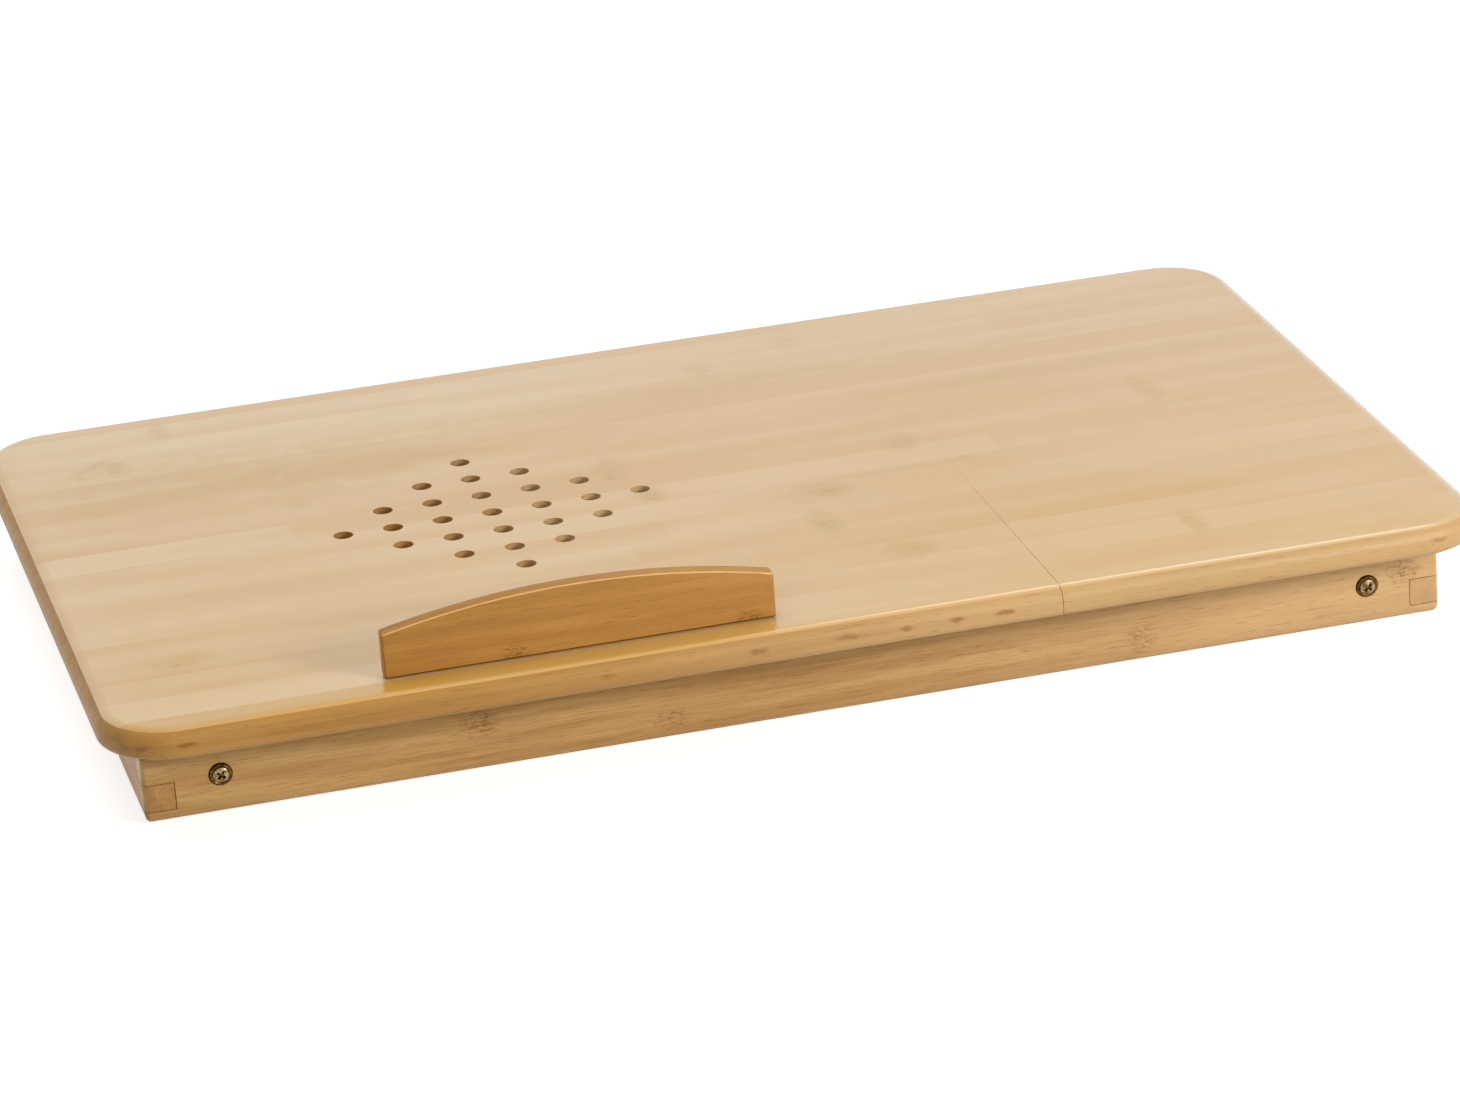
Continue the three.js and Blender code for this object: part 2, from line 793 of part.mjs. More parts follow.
// Brackets under the board: flat on top, round about the pin below
function propBracket(from, to) {
  const half = bracketDepth / 2;
  const top = propAxisDrop - clearance;
  const outline = new THREE.Shape();
  outline.moveTo(-half, top);
  outline.absarc(0, 0, half, Math.PI, 2 * Math.PI, false);
  outline.lineTo(half, top);
  const bore = rodAlongX(
    propPinDiameter / 2 + clearance,
    from - cutOverrun,
    to + cutOverrun,
    0,
    0,
    pinSides,
  );
  return cut(prismAlongX(outline, from, to), bore);
}

function bracketPieces() {
  const inner = bracketOuterOffset - bracketThickness;
  const outer = bracketOuterOffset;
  const pin = (from, to) => rodAlongX(propPinDiameter / 2, from, to, 0, 0, pinSides);
  return [
    mesh("prop_bracket_left", propBracket(-outer, -inner), frameBamboo()),
    mesh("prop_bracket_right", propBracket(inner, outer), frameBamboo()),
    mesh("prop_pin_left", pin(-outer, -armInnerOffset), zincSteel()),
    mesh("prop_pin_right", pin(armInnerOffset, outer), zincSteel()),
  ];
}

// Racks: the prop's foot drops into a notch for each tilt of the board.
// Each notch lies where the foot comes to, with its steep wall behind the foot.
function footY(tilt) {
  const drop = hingeZ - propZ;
  return hingeY + 2 * propLength * Math.cos(tilt) + drop * Math.sin(tilt);
}

function rackOutline() {
  const end = railInnerY - clearance;
  const shoulder = legInnerY - shoulderGap;
  const tip = propZ - rodDiameter / 2 - clearance;
  const valley = tip - notchDepth;
  const rodHalf = rodDiameter / 2 + clearance;
  const troughBack = footY(0) + rodHalf + troughMargin;
  const troughFront = footY(notchTilts[0]) - rodDiameter - troughMargin;
  const teeth = notchTilts.flatMap((tilt, i) => {
    const foot = footY(tilt);
    const wall = foot + rodHalf;
    const slopeStart = i ? footY(notchTilts[i - 1]) + rodHalf + toothLand : foot - rodDiameter;
    return [
      [slopeStart, tip],
      [foot, valley],
      [wall, valley],
      [wall, tip],
    ];
  });
  return polygon([
    [-end, overLegZ],
    [-shoulder, overLegZ],
    [-shoulder, overStretcherZ],
    [shoulder, overStretcherZ],
    [shoulder, overLegZ],
    [end, overLegZ],
    [end, railHeight],
    [troughBack, railHeight],
    [troughBack, tip],
    ...teeth.reverse(),
    [troughFront, tip],
    [troughFront, railHeight],
    [-end, railHeight],
  ]);
}

function rack(side) {
  const centre = tiltCentreX + (side * rackSpacing) / 2;
  return prismAlongX(rackOutline(), centre - rackWidth / 2, centre + rackWidth / 2);
}

// Drawer: a front that fills the right rail's notch, and a box with a grooved-in bottom
function drawerGroove() {
  const reach = drawerHalfWidth - drawerWall + grooveDepth + clearance;
  const frontReach = railInnerX + grooveDepth + clearance;
  const low = drawerBottomZ - clearance;
  const high = drawerBottomZ + drawerBottomThickness + clearance;
  return block([drawerBackX - cutOverrun, frontReach], [-reach, reach], [low, high]);
}

function drawerFront() {
  const top = boardUnderside - drawerSlack;
  const panel = block(
    [railInnerX, frameWidth / 2],
    [-drawerHalfWidth, drawerHalfWidth],
    [drawerLowZ, top],
  );
  const fingerNotch = rodAlongX(
    fingerNotchRadius,
    railInnerX - cutOverrun,
    beyondFrameX,
    0,
    top,
    boreSides,
  );
  return cut(panel, fingerNotch, drawerGroove());
}

function drawerSide(sideY) {
  const outer = sideY * drawerHalfWidth;
  const inner = sideY * (drawerHalfWidth - drawerWall);
  const wall = block(
    [drawerBackX, railInnerX - clearance],
    [Math.min(outer, inner), Math.max(outer, inner)],
    [drawerLowZ, drawerSideTop],
  );
  return cut(wall, drawerGroove());
}

function drawerPieces() {
  const boxHalf = drawerHalfWidth - drawerWall - clearance;
  const bottomHalf = boxHalf + grooveDepth;
  const bottomTop = drawerBottomZ + drawerBottomThickness;
  const back = block(
    [drawerBackX, drawerBackX + drawerWall],
    [-boxHalf, boxHalf],
    [bottomTop + clearance, drawerSideTop],
  );
  const bottom = block(
    [drawerBackX, railInnerX + grooveDepth],
    [-bottomHalf, bottomHalf],
    [drawerBottomZ, bottomTop],
  );
  return [
    mesh("drawer_front", drawerFront(), frameBamboo()),
    mesh("drawer_side_near", drawerSide(-1), frameBamboo()),
    mesh("drawer_side_far", drawerSide(1), frameBamboo()),
    mesh("drawer_back", back, frameBamboo()),
    mesh("drawer_bottom", bottom, topBamboo()),
  ];
}

// Runners: a shelf under each drawer side, on a guide that hangs under the fixed board
function drawerRunner(sideY) {
  const shelfTop = drawerLowZ - clearance;
  const outline = polygon(
    [
      [drawerOpening - runnerShelf, runnerFromBottom],
      [drawerOpening + guideThickness, runnerFromBottom],
      [drawerOpening + guideThickness, railHeight],
      [drawerOpening, railHeight],
      [drawerOpening, shelfTop],
      [drawerOpening - runnerShelf, shelfTop],
    ].map(([y, z]) => [sideY * y, z]),
  );
  return prismAlongX(outline, drawerBackX, railInnerX - clearance);
}

const frame = group([
  ...framePieces(),
  mesh("prop_rack_left", rack(-1), frameBamboo()),
  mesh("prop_rack_right", rack(1), frameBamboo()),
  mesh("drawer_runner_near", drawerRunner(-1), frameBamboo()),
  mesh("drawer_runner_far", drawerRunner(1), frameBamboo()),
  ...hingeFixedPieces("left", -1),
  ...hingeFixedPieces("right", 1),
]);

const propHang = [tiltCentreX, propY, propZ];

const tiltingTop = group([
  mesh("tilting_top_board", tiltingBoard(), topBamboo()),
  ...bookStopPieces(),
  mesh("hinge_moving_leaf_left", movingLeaf(), zincSteel(), hingePlace(-1)),
  mesh("hinge_moving_leaf_right", movingLeaf(), zincSteel(), hingePlace(1)),
  group(bracketPieces(), propHang),
]);

const table = group([
  frame,
  legPair("left", "front", "back", -1, 0),
  legPair("right", "back", "front", 1, Math.PI),
  tiltingTop,
  group(propPieces(), propHang),
  group(drawerPieces()),
]);

export default table;
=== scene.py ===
# %% [markdown]
# # A folding bamboo laptop table
# The table is shown folded flat: a wide board that tilts, a narrow board beside it that stays
# flat, and a low frame under both. The solids come from a packed model, in metres, and this
# lesson dresses them: finer boards, a book stop, pivot screws, wood and metal finishes, light.

# %% Load the packed model
import json
import math

import bpy
from mathutils import Matrix, Vector

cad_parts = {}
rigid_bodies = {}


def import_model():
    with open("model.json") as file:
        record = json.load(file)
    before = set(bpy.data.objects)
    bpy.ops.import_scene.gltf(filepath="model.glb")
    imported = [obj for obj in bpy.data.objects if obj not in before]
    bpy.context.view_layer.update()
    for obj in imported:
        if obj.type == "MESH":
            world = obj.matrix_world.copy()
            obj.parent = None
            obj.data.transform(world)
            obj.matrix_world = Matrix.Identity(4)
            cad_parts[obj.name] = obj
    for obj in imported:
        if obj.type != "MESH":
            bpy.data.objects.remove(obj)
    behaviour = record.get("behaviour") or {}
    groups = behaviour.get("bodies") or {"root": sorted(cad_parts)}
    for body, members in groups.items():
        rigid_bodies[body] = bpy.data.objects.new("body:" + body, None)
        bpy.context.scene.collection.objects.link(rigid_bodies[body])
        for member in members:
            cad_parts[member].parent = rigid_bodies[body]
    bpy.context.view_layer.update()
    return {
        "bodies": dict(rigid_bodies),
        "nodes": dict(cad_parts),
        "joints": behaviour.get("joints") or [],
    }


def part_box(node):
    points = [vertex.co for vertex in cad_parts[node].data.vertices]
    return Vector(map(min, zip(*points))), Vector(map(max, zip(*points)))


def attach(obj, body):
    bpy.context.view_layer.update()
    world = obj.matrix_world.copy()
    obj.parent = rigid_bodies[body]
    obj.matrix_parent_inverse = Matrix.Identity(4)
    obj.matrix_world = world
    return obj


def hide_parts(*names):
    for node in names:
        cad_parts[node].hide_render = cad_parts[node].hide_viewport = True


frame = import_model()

# %% [markdown]
# ## The camera
# A catalogue picture of furniture is taken from far off with a long lens, so that the edges stay
# nearly parallel. The place, the turn and the lens below were solved from the picture's straight
# edges and its square grid of holes, which a camera set by eye would only come near.

# %% Set up the camera
SENSOR_WIDTH = 36.0
LENS_LENGTH = 146.333
NEAREST_SEEN, FARTHEST_SEEN = 0.05, 60.0
CAMERA_PLACE = (-0.51058, -2.20184, 0.89749)
CAMERA_TURN = (68.6401, 3.8336, -14.76)


def set_up_camera():
    """A long lens, in front and to the left of the table, a little tipped to one side."""
    lens = bpy.data.cameras.new("catalogue_camera")
    lens.sensor_width = SENSOR_WIDTH
    lens.lens = LENS_LENGTH
    lens.clip_start, lens.clip_end = NEAREST_SEEN, FARTHEST_SEEN
    camera = bpy.data.objects.new("catalogue_camera", lens)
    camera.location = CAMERA_PLACE
    camera.rotation_euler = [math.radians(turn) for turn in CAMERA_TURN]
    bpy.context.scene.collection.objects.link(camera)
    bpy.context.scene.camera = camera
    return camera


camera = set_up_camera()
bpy.context.scene.view_settings.view_transform = "Standard"
print("the camera stands", round(camera.location.length, 2), "m from the table's middle")

# %% [markdown]
# ## Sizes that the dressed pieces share
# The boards, the book stop and the screws are modelled again with finer curves than the packed
# solids have. Each starts from the box of the solid that it stands for, so it lies exactly there.

# %% Measure the solids
MM = 0.001
tilting_low, tilting_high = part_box("tilting_top_board")
fixed_low, fixed_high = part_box("fixed_top_board")
stop_low, stop_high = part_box("book_stop")
BOARD_TOP = tilting_high.z
print("the boards' top lies", round(BOARD_TOP / MM, 1), "mm above the surface they stand on")

# %% [markdown]
# ## Starting a piece
# A joiner starts from a squared blank, and so does each board and lip here. A cube is added and
# stretched to the box that was measured, and the stretch is applied, so that later bevels are as
# wide along as across. Corners typed in as numbers would do as well, but a tool is shorter.

# %% Helpers that start a piece
def clear_selection():
    """Leaves edit mode and deselects every object."""
    if bpy.context.object and bpy.context.object.mode != "OBJECT":
        bpy.ops.object.mode_set(mode="OBJECT")
    bpy.ops.object.select_all(action="DESELECT")


def take_up(piece):
    """Selects one piece alone and makes it the active one."""
    clear_selection()
    piece.select_set(True)
    bpy.context.view_layer.objects.active = piece


def start_block(name, low, high):
    """A cube of the given corners, the blank that a board or lip is shaped from."""
    clear_selection()
    middle = (Vector(low) + Vector(high)) / 2
    size = Vector(high) - Vector(low)
    bpy.ops.mesh.primitive_cube_add(size=1, location=middle, scale=size)
    bpy.ops.object.transform_apply(location=True, rotation=True, scale=True)
    blank = bpy.context.object
    blank.name = blank.data.name = name
    return blank


# %% [markdown]
# ## Picking parts of a mesh in code
# Blender's mesh tools act on what is selected. By hand that is a click. Here a small test picks
# the edges or faces by where they lie, and edit mode is then entered with just those selected.

# %% Helpers that pick edges and finish a piece
NEAR_ENOUGH = 0.01 * MM
SMOOTH_BELOW = 30


def pick_edges(piece, wanted):
    """Enters edit mode with just the edges selected whose two ends satisfy wanted(a, b)."""
    take_up(piece)
    bpy.ops.object.mode_set(mode="EDIT")
    bpy.ops.mesh.select_mode(type="EDGE")
    bpy.ops.mesh.select_all(action="DESELECT")
    bpy.ops.object.mode_set(mode="OBJECT")
    mesh = piece.data
    for edge in mesh.edges:
        a, b = (mesh.vertices[i].co for i in edge.vertices)
        edge.select = wanted(a, b)
    bpy.ops.object.mode_set(mode="EDIT")


def near(value, target):
    """True if two lengths agree closely enough to be the same place on a piece."""
    return abs(value - target) < NEAR_ENOUGH


def close_edit(piece, angle=SMOOTH_BELOW):
    """Leaves edit mode and shades smooth across every edge that turns less than the angle."""
    bpy.ops.object.mode_set(mode="OBJECT")
    take_up(piece)
    bpy.ops.object.shade_smooth_by_angle(angle=math.radians(angle))


print("edges are picked to within", NEAR_ENOUGH / MM, "mm")

# %% [markdown]
# ## The two top boards
# On the real table one laminated board is sawn in two. The outer corners are rounded, the top edge
# has a generous roundover and the lower edge a small one, all made with a router. A bevel with
# several segments does the same: first the upright corner edges, then the outlines. The saw cut
# opens a hair at the front, where the wood has moved, and is shut tight from a third of the way
# back. A bisect puts the corner there that the narrow board's edge needs to bend.

# %% Shape a board with routed edges
BOARD_CORNER = 30 * MM
BOARD_TOP_EDGE = 6.5 * MM
BOARD_LOW_EDGE = 3 * MM
CORNER_STEPS = 20
TOP_EDGE_STEPS = 8
LOW_EDGE_STEPS = 5
SAME_POINT = 0.001 * MM


def shape_board(name, low, high, seam_x):
    """A board whose outer corners and outlines are routed, and whose seam edge is left square."""
    board = start_block(name, low, high)
    pick_edges(
        board,
        lambda a, b: near(a.x, b.x) and near(a.y, b.y) and not near(a.x, seam_x),
    )
    bpy.ops.mesh.bevel(offset=BOARD_CORNER, offset_type="OFFSET", segments=CORNER_STEPS)
    for height, radius, steps in (
        (high.z, BOARD_TOP_EDGE, TOP_EDGE_STEPS),
        (low.z, BOARD_LOW_EDGE, LOW_EDGE_STEPS),
    ):
        bpy.ops.object.mode_set(mode="OBJECT")
        pick_edges(
            board,
            lambda a, b: near(a.z, height) and near(b.z, height)
            and not (near(a.x, seam_x) and near(b.x, seam_x)),
        )
        bpy.ops.mesh.bevel(offset=radius, offset_type="OFFSET", segments=steps)
    bpy.ops.mesh.select_all(action="SELECT")
    bpy.ops.mesh.remove_doubles(threshold=SAME_POINT)
    close_edit(board)
    return board


def close_seam(board, front_gap, shut_gap, shut_y):
    """Moves the seam edge of the narrow board up to the wide one, behind shut_y quite tight."""
    take_up(board)
    bpy.ops.object.mode_set(mode="EDIT")
    bpy.ops.mesh.select_all(action="SELECT")
    bpy.ops.mesh.bisect(plane_co=(0, shut_y, 0), plane_no=(0, 1, 0))
    bpy.ops.object.mode_set(mode="OBJECT")
    for vertex in board.data.vertices:
        if near(vertex.co.x, fixed_low.x):
            openness = max(0.0, (shut_y - vertex.co.y) / (shut_y - fixed_low.y))
            vertex.co.x = tilting_high.x + shut_gap + (front_gap - shut_gap) * openness


tilting_board = shape_board("tilting_board", tilting_low, tilting_high, tilting_high.x)
fixed_board = shape_board("fixed_board", fixed_low, fixed_high, fixed_low.x)
close_seam(fixed_board, front_gap=0.20 * MM, shut_gap=0.01 * MM, shut_y=-12 * MM)
for board in (tilting_board, fixed_board):
    print(board.name, "has", len(board.data.polygons), "faces and measures", board.dimensions)

# %% [markdown]
# ## Cutting with a tool
# Drilling and sawing take wood away, and in Blender a Boolean modifier does that. It needs the
# shape of what is to go: a solid that stands for the drill. Many drills are joined first, so that
# one cut does them all. The exact solver is used, because the fast one can leave stray faces.

# %% Helpers that cut
def apply_modifiers(piece):
    """Applies every modifier of a piece, so its mesh is the finished shape."""
    take_up(piece)
    for name in [modifier.name for modifier in piece.modifiers]:
        bpy.ops.object.modifier_apply(modifier=name)


def remove_tool(tool):
    """Throws away a cutter once it has done its work."""
    mesh = tool.data
    bpy.data.objects.remove(tool)
    bpy.data.meshes.remove(mesh)


def cut_away(piece, tool):
    """Cuts the tool's shape out of the piece with an exact Boolean."""
    cutting = piece.modifiers.new("cut", "BOOLEAN")
    cutting.operation = "DIFFERENCE"
    cutting.solver = "EXACT"
    cutting.object = tool
    apply_modifiers(piece)
    remove_tool(tool)
    print(piece.name, "has", len(piece.data.polygons), "faces after the cut")


def join_tools(name, tools):
    """Joins several cutters into one object."""
    clear_selection()
    for tool in tools:
        tool.select_set(True)
    bpy.context.view_layer.objects.active = tools[0]
    bpy.ops.object.join()
    joined = bpy.context.object
    joined.name = name
    return joined


# %% [markdown]
# ## A drill that eases the rim
# A hole is drilled, and then its rim is eased with sandpaper. Here one drill does both: a cylinder
# whose upper end is extruded and widened, twice, into a short cone. A bevel after the cut would
# first need the rim to be found among the new edges.

# %% Helper that makes a drill
DRILL_SIDES = 48
FACING_UP = 0.9


def make_drill(name, radius, low_z, top_z, ease, sides=DRILL_SIDES):
    """A round drill on the Z axis that flares by ease just under top_z."""
    clear_selection()
    body_top = top_z - ease
    bpy.ops.mesh.primitive_cylinder_add(
        vertices=sides,
        radius=radius,
        depth=body_top - low_z,
        location=(0, 0, (body_top + low_z) / 2),
    )
    bpy.ops.object.transform_apply(location=True, rotation=True, scale=True)
    drill = bpy.context.object
    drill.name = name
    take_up(drill)
    bpy.ops.object.mode_set(mode="EDIT")
    bpy.ops.mesh.select_mode(type="FACE")
    bpy.ops.mesh.select_all(action="DESELECT")
    bpy.ops.object.mode_set(mode="OBJECT")
    for face in drill.data.polygons:
        face.select = face.normal.z > FACING_UP
    bpy.ops.object.mode_set(mode="EDIT")
    for _ in range(2):
        bpy.ops.mesh.extrude_region_move(TRANSFORM_OT_translate={"value": (0, 0, ease)})
        wider = (radius + ease) / radius
        bpy.ops.transform.resize(value=(wider, wider, 1))
    bpy.ops.object.mode_set(mode="OBJECT")
    return drill


print("a drill has", DRILL_SIDES, "sides")

# %% [markdown]
# ## Vent holes
# Twenty-five holes stand in a diamond on a square grid, so that warm air leaves a laptop. The
# drill is modelled once and copied to each place, and all the copies cut at once. An array
# modifier would fill a square, and the diamond would need holes taken out again.

# %% Drill the vent holes
VENT_RADIUS = 4 * MM
VENT_PITCH = 20.5 * MM
VENT_EASE = 0.12 * MM
VENT_ROWS_EACH_WAY = 3
DRILL_OVERRUN = 2 * MM
vent_x = (tilting_low.x + tilting_high.x) / 2
vent_y = -1.5 * MM


def place_copy(tool, offset):
    """A copy with its own mesh, moved by the offset."""
    copy = tool.copy()
    copy.data = tool.data.copy()
    copy.data.transform(Matrix.Translation(offset))
    bpy.context.scene.collection.objects.link(copy)
    return copy


def vent_places():
    """The middle of each vent hole, counted out from the centre of the diamond."""
    for column in range(-VENT_ROWS_EACH_WAY, VENT_ROWS_EACH_WAY + 1):
        rows = VENT_ROWS_EACH_WAY - abs(column)
        for row in range(-rows, rows + 1):
            yield Vector((vent_x + column * VENT_PITCH, vent_y + row * VENT_PITCH, 0))


vent_drill = make_drill(
    "vent_drill", VENT_RADIUS, tilting_low.z - DRILL_OVERRUN, BOARD_TOP, VENT_EASE
)
vent_drills = [place_copy(vent_drill, place) for place in vent_places()]
print("the diamond has", len(vent_drills), "vent holes")
remove_tool(vent_drill)
cut_away(tilting_board, join_tools("vent_drills", vent_drills))

# %% [markdown]
# ## Dowel sockets
# The book stop stands on two glued dowels. Their sockets are drilled half into the board and half
# into the stop. They don't show, but the pieces come apart cleanly when they are there.

# %% Drill the dowel sockets
SOCKET_RADIUS = 2.3 * MM
SOCKET_SPARE = 0.3 * MM
SOCKET_EASE = 0.01 * MM
SOCKET_SIDES = 24
dowel_boxes = [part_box("book_stop_dowel_" + side) for side in ("left", "right")]


def make_sockets(name):
    """Two drills, one round each dowel and a little longer than it."""
    drills = []
    for low, high in dowel_boxes:
        foot, head = low.z - SOCKET_SPARE, high.z + SOCKET_SPARE
        drill = make_drill(name, SOCKET_RADIUS, foot, head, SOCKET_EASE, SOCKET_SIDES)
        drill.data.transform(Matrix.Translation(((low.x + high.x) / 2, (low.y + high.y) / 2, 0)))
        drills.append(drill)
    return join_tools(name, drills)


cut_away(tilting_board, make_sockets("board_sockets"))

# %% [markdown]
# ## The book stop
# A thin lip with an arched top keeps a book from sliding off the tilted board. The arch is an arc
# of a large circle, sawn from a strip. The blank is a block with its top face cut into many steps
# along its length, which are then lifted onto the arc, and its edges get a small arris.

# %% Shape the book stop
STOP_END_HEIGHT = 17.8 * MM
STOP_ARRIS = 0.8 * MM
STOP_ARRIS_STEPS = 4
STOP_ARRIS_ANGLE = 40
ARCH_CUTS = 31


def arch_height(x):
    """Height of the arch above the stop's foot, at a place along the table."""
    half = (stop_high.x - stop_low.x) / 2
    rise = stop_high.z - stop_low.z - STOP_END_HEIGHT
    radius = (half * half + rise * rise) / (2 * rise)
    off_centre = x - (stop_low.x + stop_high.x) / 2
    return stop_high.z - stop_low.z - radius + math.sqrt(radius * radius - off_centre**2)


def shape_book_stop():
    """A lip with an arched top, sanded arrises and two dowel sockets."""
    lip = start_block("book_stop_lip", stop_low, stop_high)
    pick_edges(lip, lambda a, b: near(a.y, b.y) and near(a.z, b.z))
    bpy.ops.mesh.subdivide(number_cuts=ARCH_CUTS)
    bpy.ops.object.mode_set(mode="OBJECT")
    for vertex in lip.data.vertices:
        if near(vertex.co.z, stop_high.z):
            vertex.co.z = stop_low.z + arch_height(vertex.co.x)
    easing = lip.modifiers.new("arris", "BEVEL")
    easing.width = STOP_ARRIS
    easing.segments = STOP_ARRIS_STEPS
    easing.limit_method = "ANGLE"
    easing.angle_limit = math.radians(STOP_ARRIS_ANGLE)
    apply_modifiers(lip)
    cut_away(lip, make_sockets("stop_sockets"))
    close_edit(lip)
    return lip


book_stop = shape_book_stop()
print("the book stop measures", book_stop.dimensions)

# %% [markdown]
# ## The pivot screws
# Each leg turns on a bolt with a domed head in antique brass. Round the dome lies a darker ring,
# and a cross recess takes the screwdriver. The bolt grows from a small disc at the tip of the
# dome, which is extruded again and again, each time to the next depth and radius of the outline.
# A lathe works from the same outline, and Blender's spin would do, but leaves a seam to close.

# %% Turn one pivot screw
SCREW_SIDES = 64
HEAD_RADIUS = 4.4 * MM
HEAD_DEPTH = 2.6 * MM
RING_WIDTH = 1.3 * MM
DOME_RADIUS = HEAD_RADIUS - RING_WIDTH
DOME_DEPTH = 0.75 * MM
DOME_STEPS = 8
RING_OUTLINE = ((1.0, 0.1), (1.0, 0.35), (0.82, 0.6), (0.9, 0.95))
RIM_OUTLINE = ((1.2, 0.08), (1.6, 0.0))
SHANK_RADIUS = 2.0 * MM
SHANK_TIP_RADIUS = 1.4 * MM
SHANK_TIP_LENGTH = 0.6 * MM
near_screw_low, near_screw_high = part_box("pivot_screw_front_left")


def screw_outline():
    """Half the screw's outline, from the dome to the end of the shank, as (depth, radius)."""
    points = []
    for step in range(1, DOME_STEPS + 1):
        angle = math.radians(90 * step / DOME_STEPS)
        points.append((DOME_DEPTH * (1 - math.cos(angle)), DOME_RADIUS * math.sin(angle)))
    points[0] = (0.0, points[0][1])
    points += [(depth * MM, DOME_RADIUS + past_dome * MM) for depth, past_dome in RING_OUTLINE]
    points += [(depth * MM, HEAD_RADIUS - inside_rim * MM) for depth, inside_rim in RIM_OUTLINE]
    points += [(HEAD_DEPTH, HEAD_RADIUS), (HEAD_DEPTH, SHANK_RADIUS)]
    length = near_screw_high.y - near_screw_low.y
    return points + [(length - SHANK_TIP_LENGTH, SHANK_RADIUS), (length, SHANK_TIP_RADIUS)]


def turn_screw():
    """Extrudes a disc along the outline, with the screw's axis along Y."""
    outline = screw_outline()
    depth, radius = outline[0]
    clear_selection()
    bpy.ops.mesh.primitive_circle_add(
        vertices=SCREW_SIDES, radius=radius, fill_type="NGON", rotation=(math.pi / 2, 0, 0)
    )
    bpy.ops.object.transform_apply(location=True, rotation=True, scale=True)
    screw = bpy.context.object
    screw.name = screw.data.name = "pivot_screw_turned"
    bpy.ops.object.mode_set(mode="EDIT")
    bpy.ops.mesh.select_mode(type="FACE")
    bpy.ops.mesh.select_all(action="SELECT")
    for next_depth, next_radius in outline[1:]:
        step = (0, next_depth - depth, 0)
        bpy.ops.mesh.extrude_region_move(TRANSFORM_OT_translate={"value": step})
        wider = next_radius / radius
        bpy.ops.transform.resize(value=(wider, 1, wider))
        depth, radius = next_depth, next_radius
    bpy.ops.mesh.select_all(action="SELECT")
    bpy.ops.mesh.remove_doubles(threshold=SAME_POINT / 10)
    bpy.ops.mesh.normals_make_consistent(inside=False)
    bpy.ops.object.mode_set(mode="OBJECT")
    return screw


screw = turn_screw()
print("one pivot screw measures", screw.dimensions)

# %% [markdown]
# ## The cross recess
# A cross recess narrows towards its bottom, so that the screwdriver wedges in it. Two blocks are
# narrowed at their inner ends, turned a quarter apart and cut out one after the other. A cutter
# of a single solid cross would need its own modelling and give the same hole.

# %% Cut the cross recess
RECESS_LENGTH = 4.8 * MM
RECESS_WIDTH = 1.25 * MM
RECESS_DEPTH = 1.5 * MM
RECESS_OVERRUN = 1 * MM
BOTTOM_LENGTH_SHARE, BOTTOM_WIDTH_SHARE = 0.62, 0.75
RECESS_TURN = 38
SCREW_SMOOTH_BELOW = 35


def make_wedge(turn):
    """A block along the recess that narrows towards its bottom, turned about the screw's axis."""
    half = Vector((RECESS_LENGTH / 2, 0, RECESS_WIDTH / 2))
    above, below = Vector((0, RECESS_OVERRUN, 0)), Vector((0, RECESS_DEPTH, 0))
    wedge = start_block("wedge", -half - above, half + below)
    for vertex in wedge.data.vertices:
        if vertex.co.y > 0:
            vertex.co.x *= BOTTOM_LENGTH_SHARE
            vertex.co.z *= BOTTOM_WIDTH_SHARE
    wedge.data.transform(Matrix.Rotation(math.radians(turn), 4, "Y"))
    return wedge


for turn in (RECESS_TURN, RECESS_TURN + 90):
    cut_away(screw, make_wedge(turn))
close_edit(screw, angle=SCREW_SMOOTH_BELOW)

# %% [markdown]
# ## Four screws from one
# What repeats is modelled once. Each copy gets its own mesh, is turned a little so that no two
# recesses line up, and sits in the counterbore of its rail, facing out.

# %% Copy the screw to the four pivots
RECESS_TURNS = {"front_left": 0, "front_right": 7, "back_left": 52, "back_right": 23}


def fit_screw(corner, turn):
    """A copy of the screw in one pivot, with its recess turned by some degrees."""
    low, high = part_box("pivot_screw_" + corner)
    copy = screw.copy()
    copy.data = screw.data.copy()
    copy.name = copy.data.name = "pivot_bolt_" + corner
    copy.data.transform(Matrix.Rotation(math.radians(turn), 4, "Y"))
    if corner.startswith("back"):
        copy.data.transform(Matrix.Rotation(math.pi, 4, "Z"))
    face_y = high.y if corner.startswith("back") else low.y
    place = Vector(((low.x + high.x) / 2, face_y, (low.z + high.z) / 2))
    copy.data.transform(Matrix.Translation(place))
    bpy.context.scene.collection.objects.link(copy)
    return copy


screws = {corner: fit_screw(corner, turn) for corner, turn in RECESS_TURNS.items()}
remove_tool(screw)
print("screws in place:", sorted(piece.name for piece in screws.values()))

# %% [markdown]
# ## What rides on what
# The finer pieces take the place of the packed solids and move with the same bodies. The wide
# board and its stop tilt together, and the narrow board and the screws belong to the frame.

# %% Hang the pieces on their bodies
for piece, node, body, finish_slot in (
    (tilting_board, "tilting_top_board", "tilting_top", "top_bamboo"),
    (fixed_board, "fixed_top_board", "frame", "top_bamboo"),
    (book_stop, "book_stop", "tilting_top", "stop_bamboo"),
):
    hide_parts(node)
    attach(piece, body)
for corner, piece in screws.items():
    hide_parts("pivot_screw_" + corner)
    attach(piece, "frame")
print("two boards, a book stop and", len(screws), "screws ride on their bodies")

# %% [markdown]
# ## Building a finish from nodes
# A finish is a small circuit: coordinates go in, patterns come out, and the shader takes them as
# colour, roughness and bump. The helpers below each add one kind of node, so that a finish can
# be read as a recipe. The first ones map the coordinates and make the patterns.

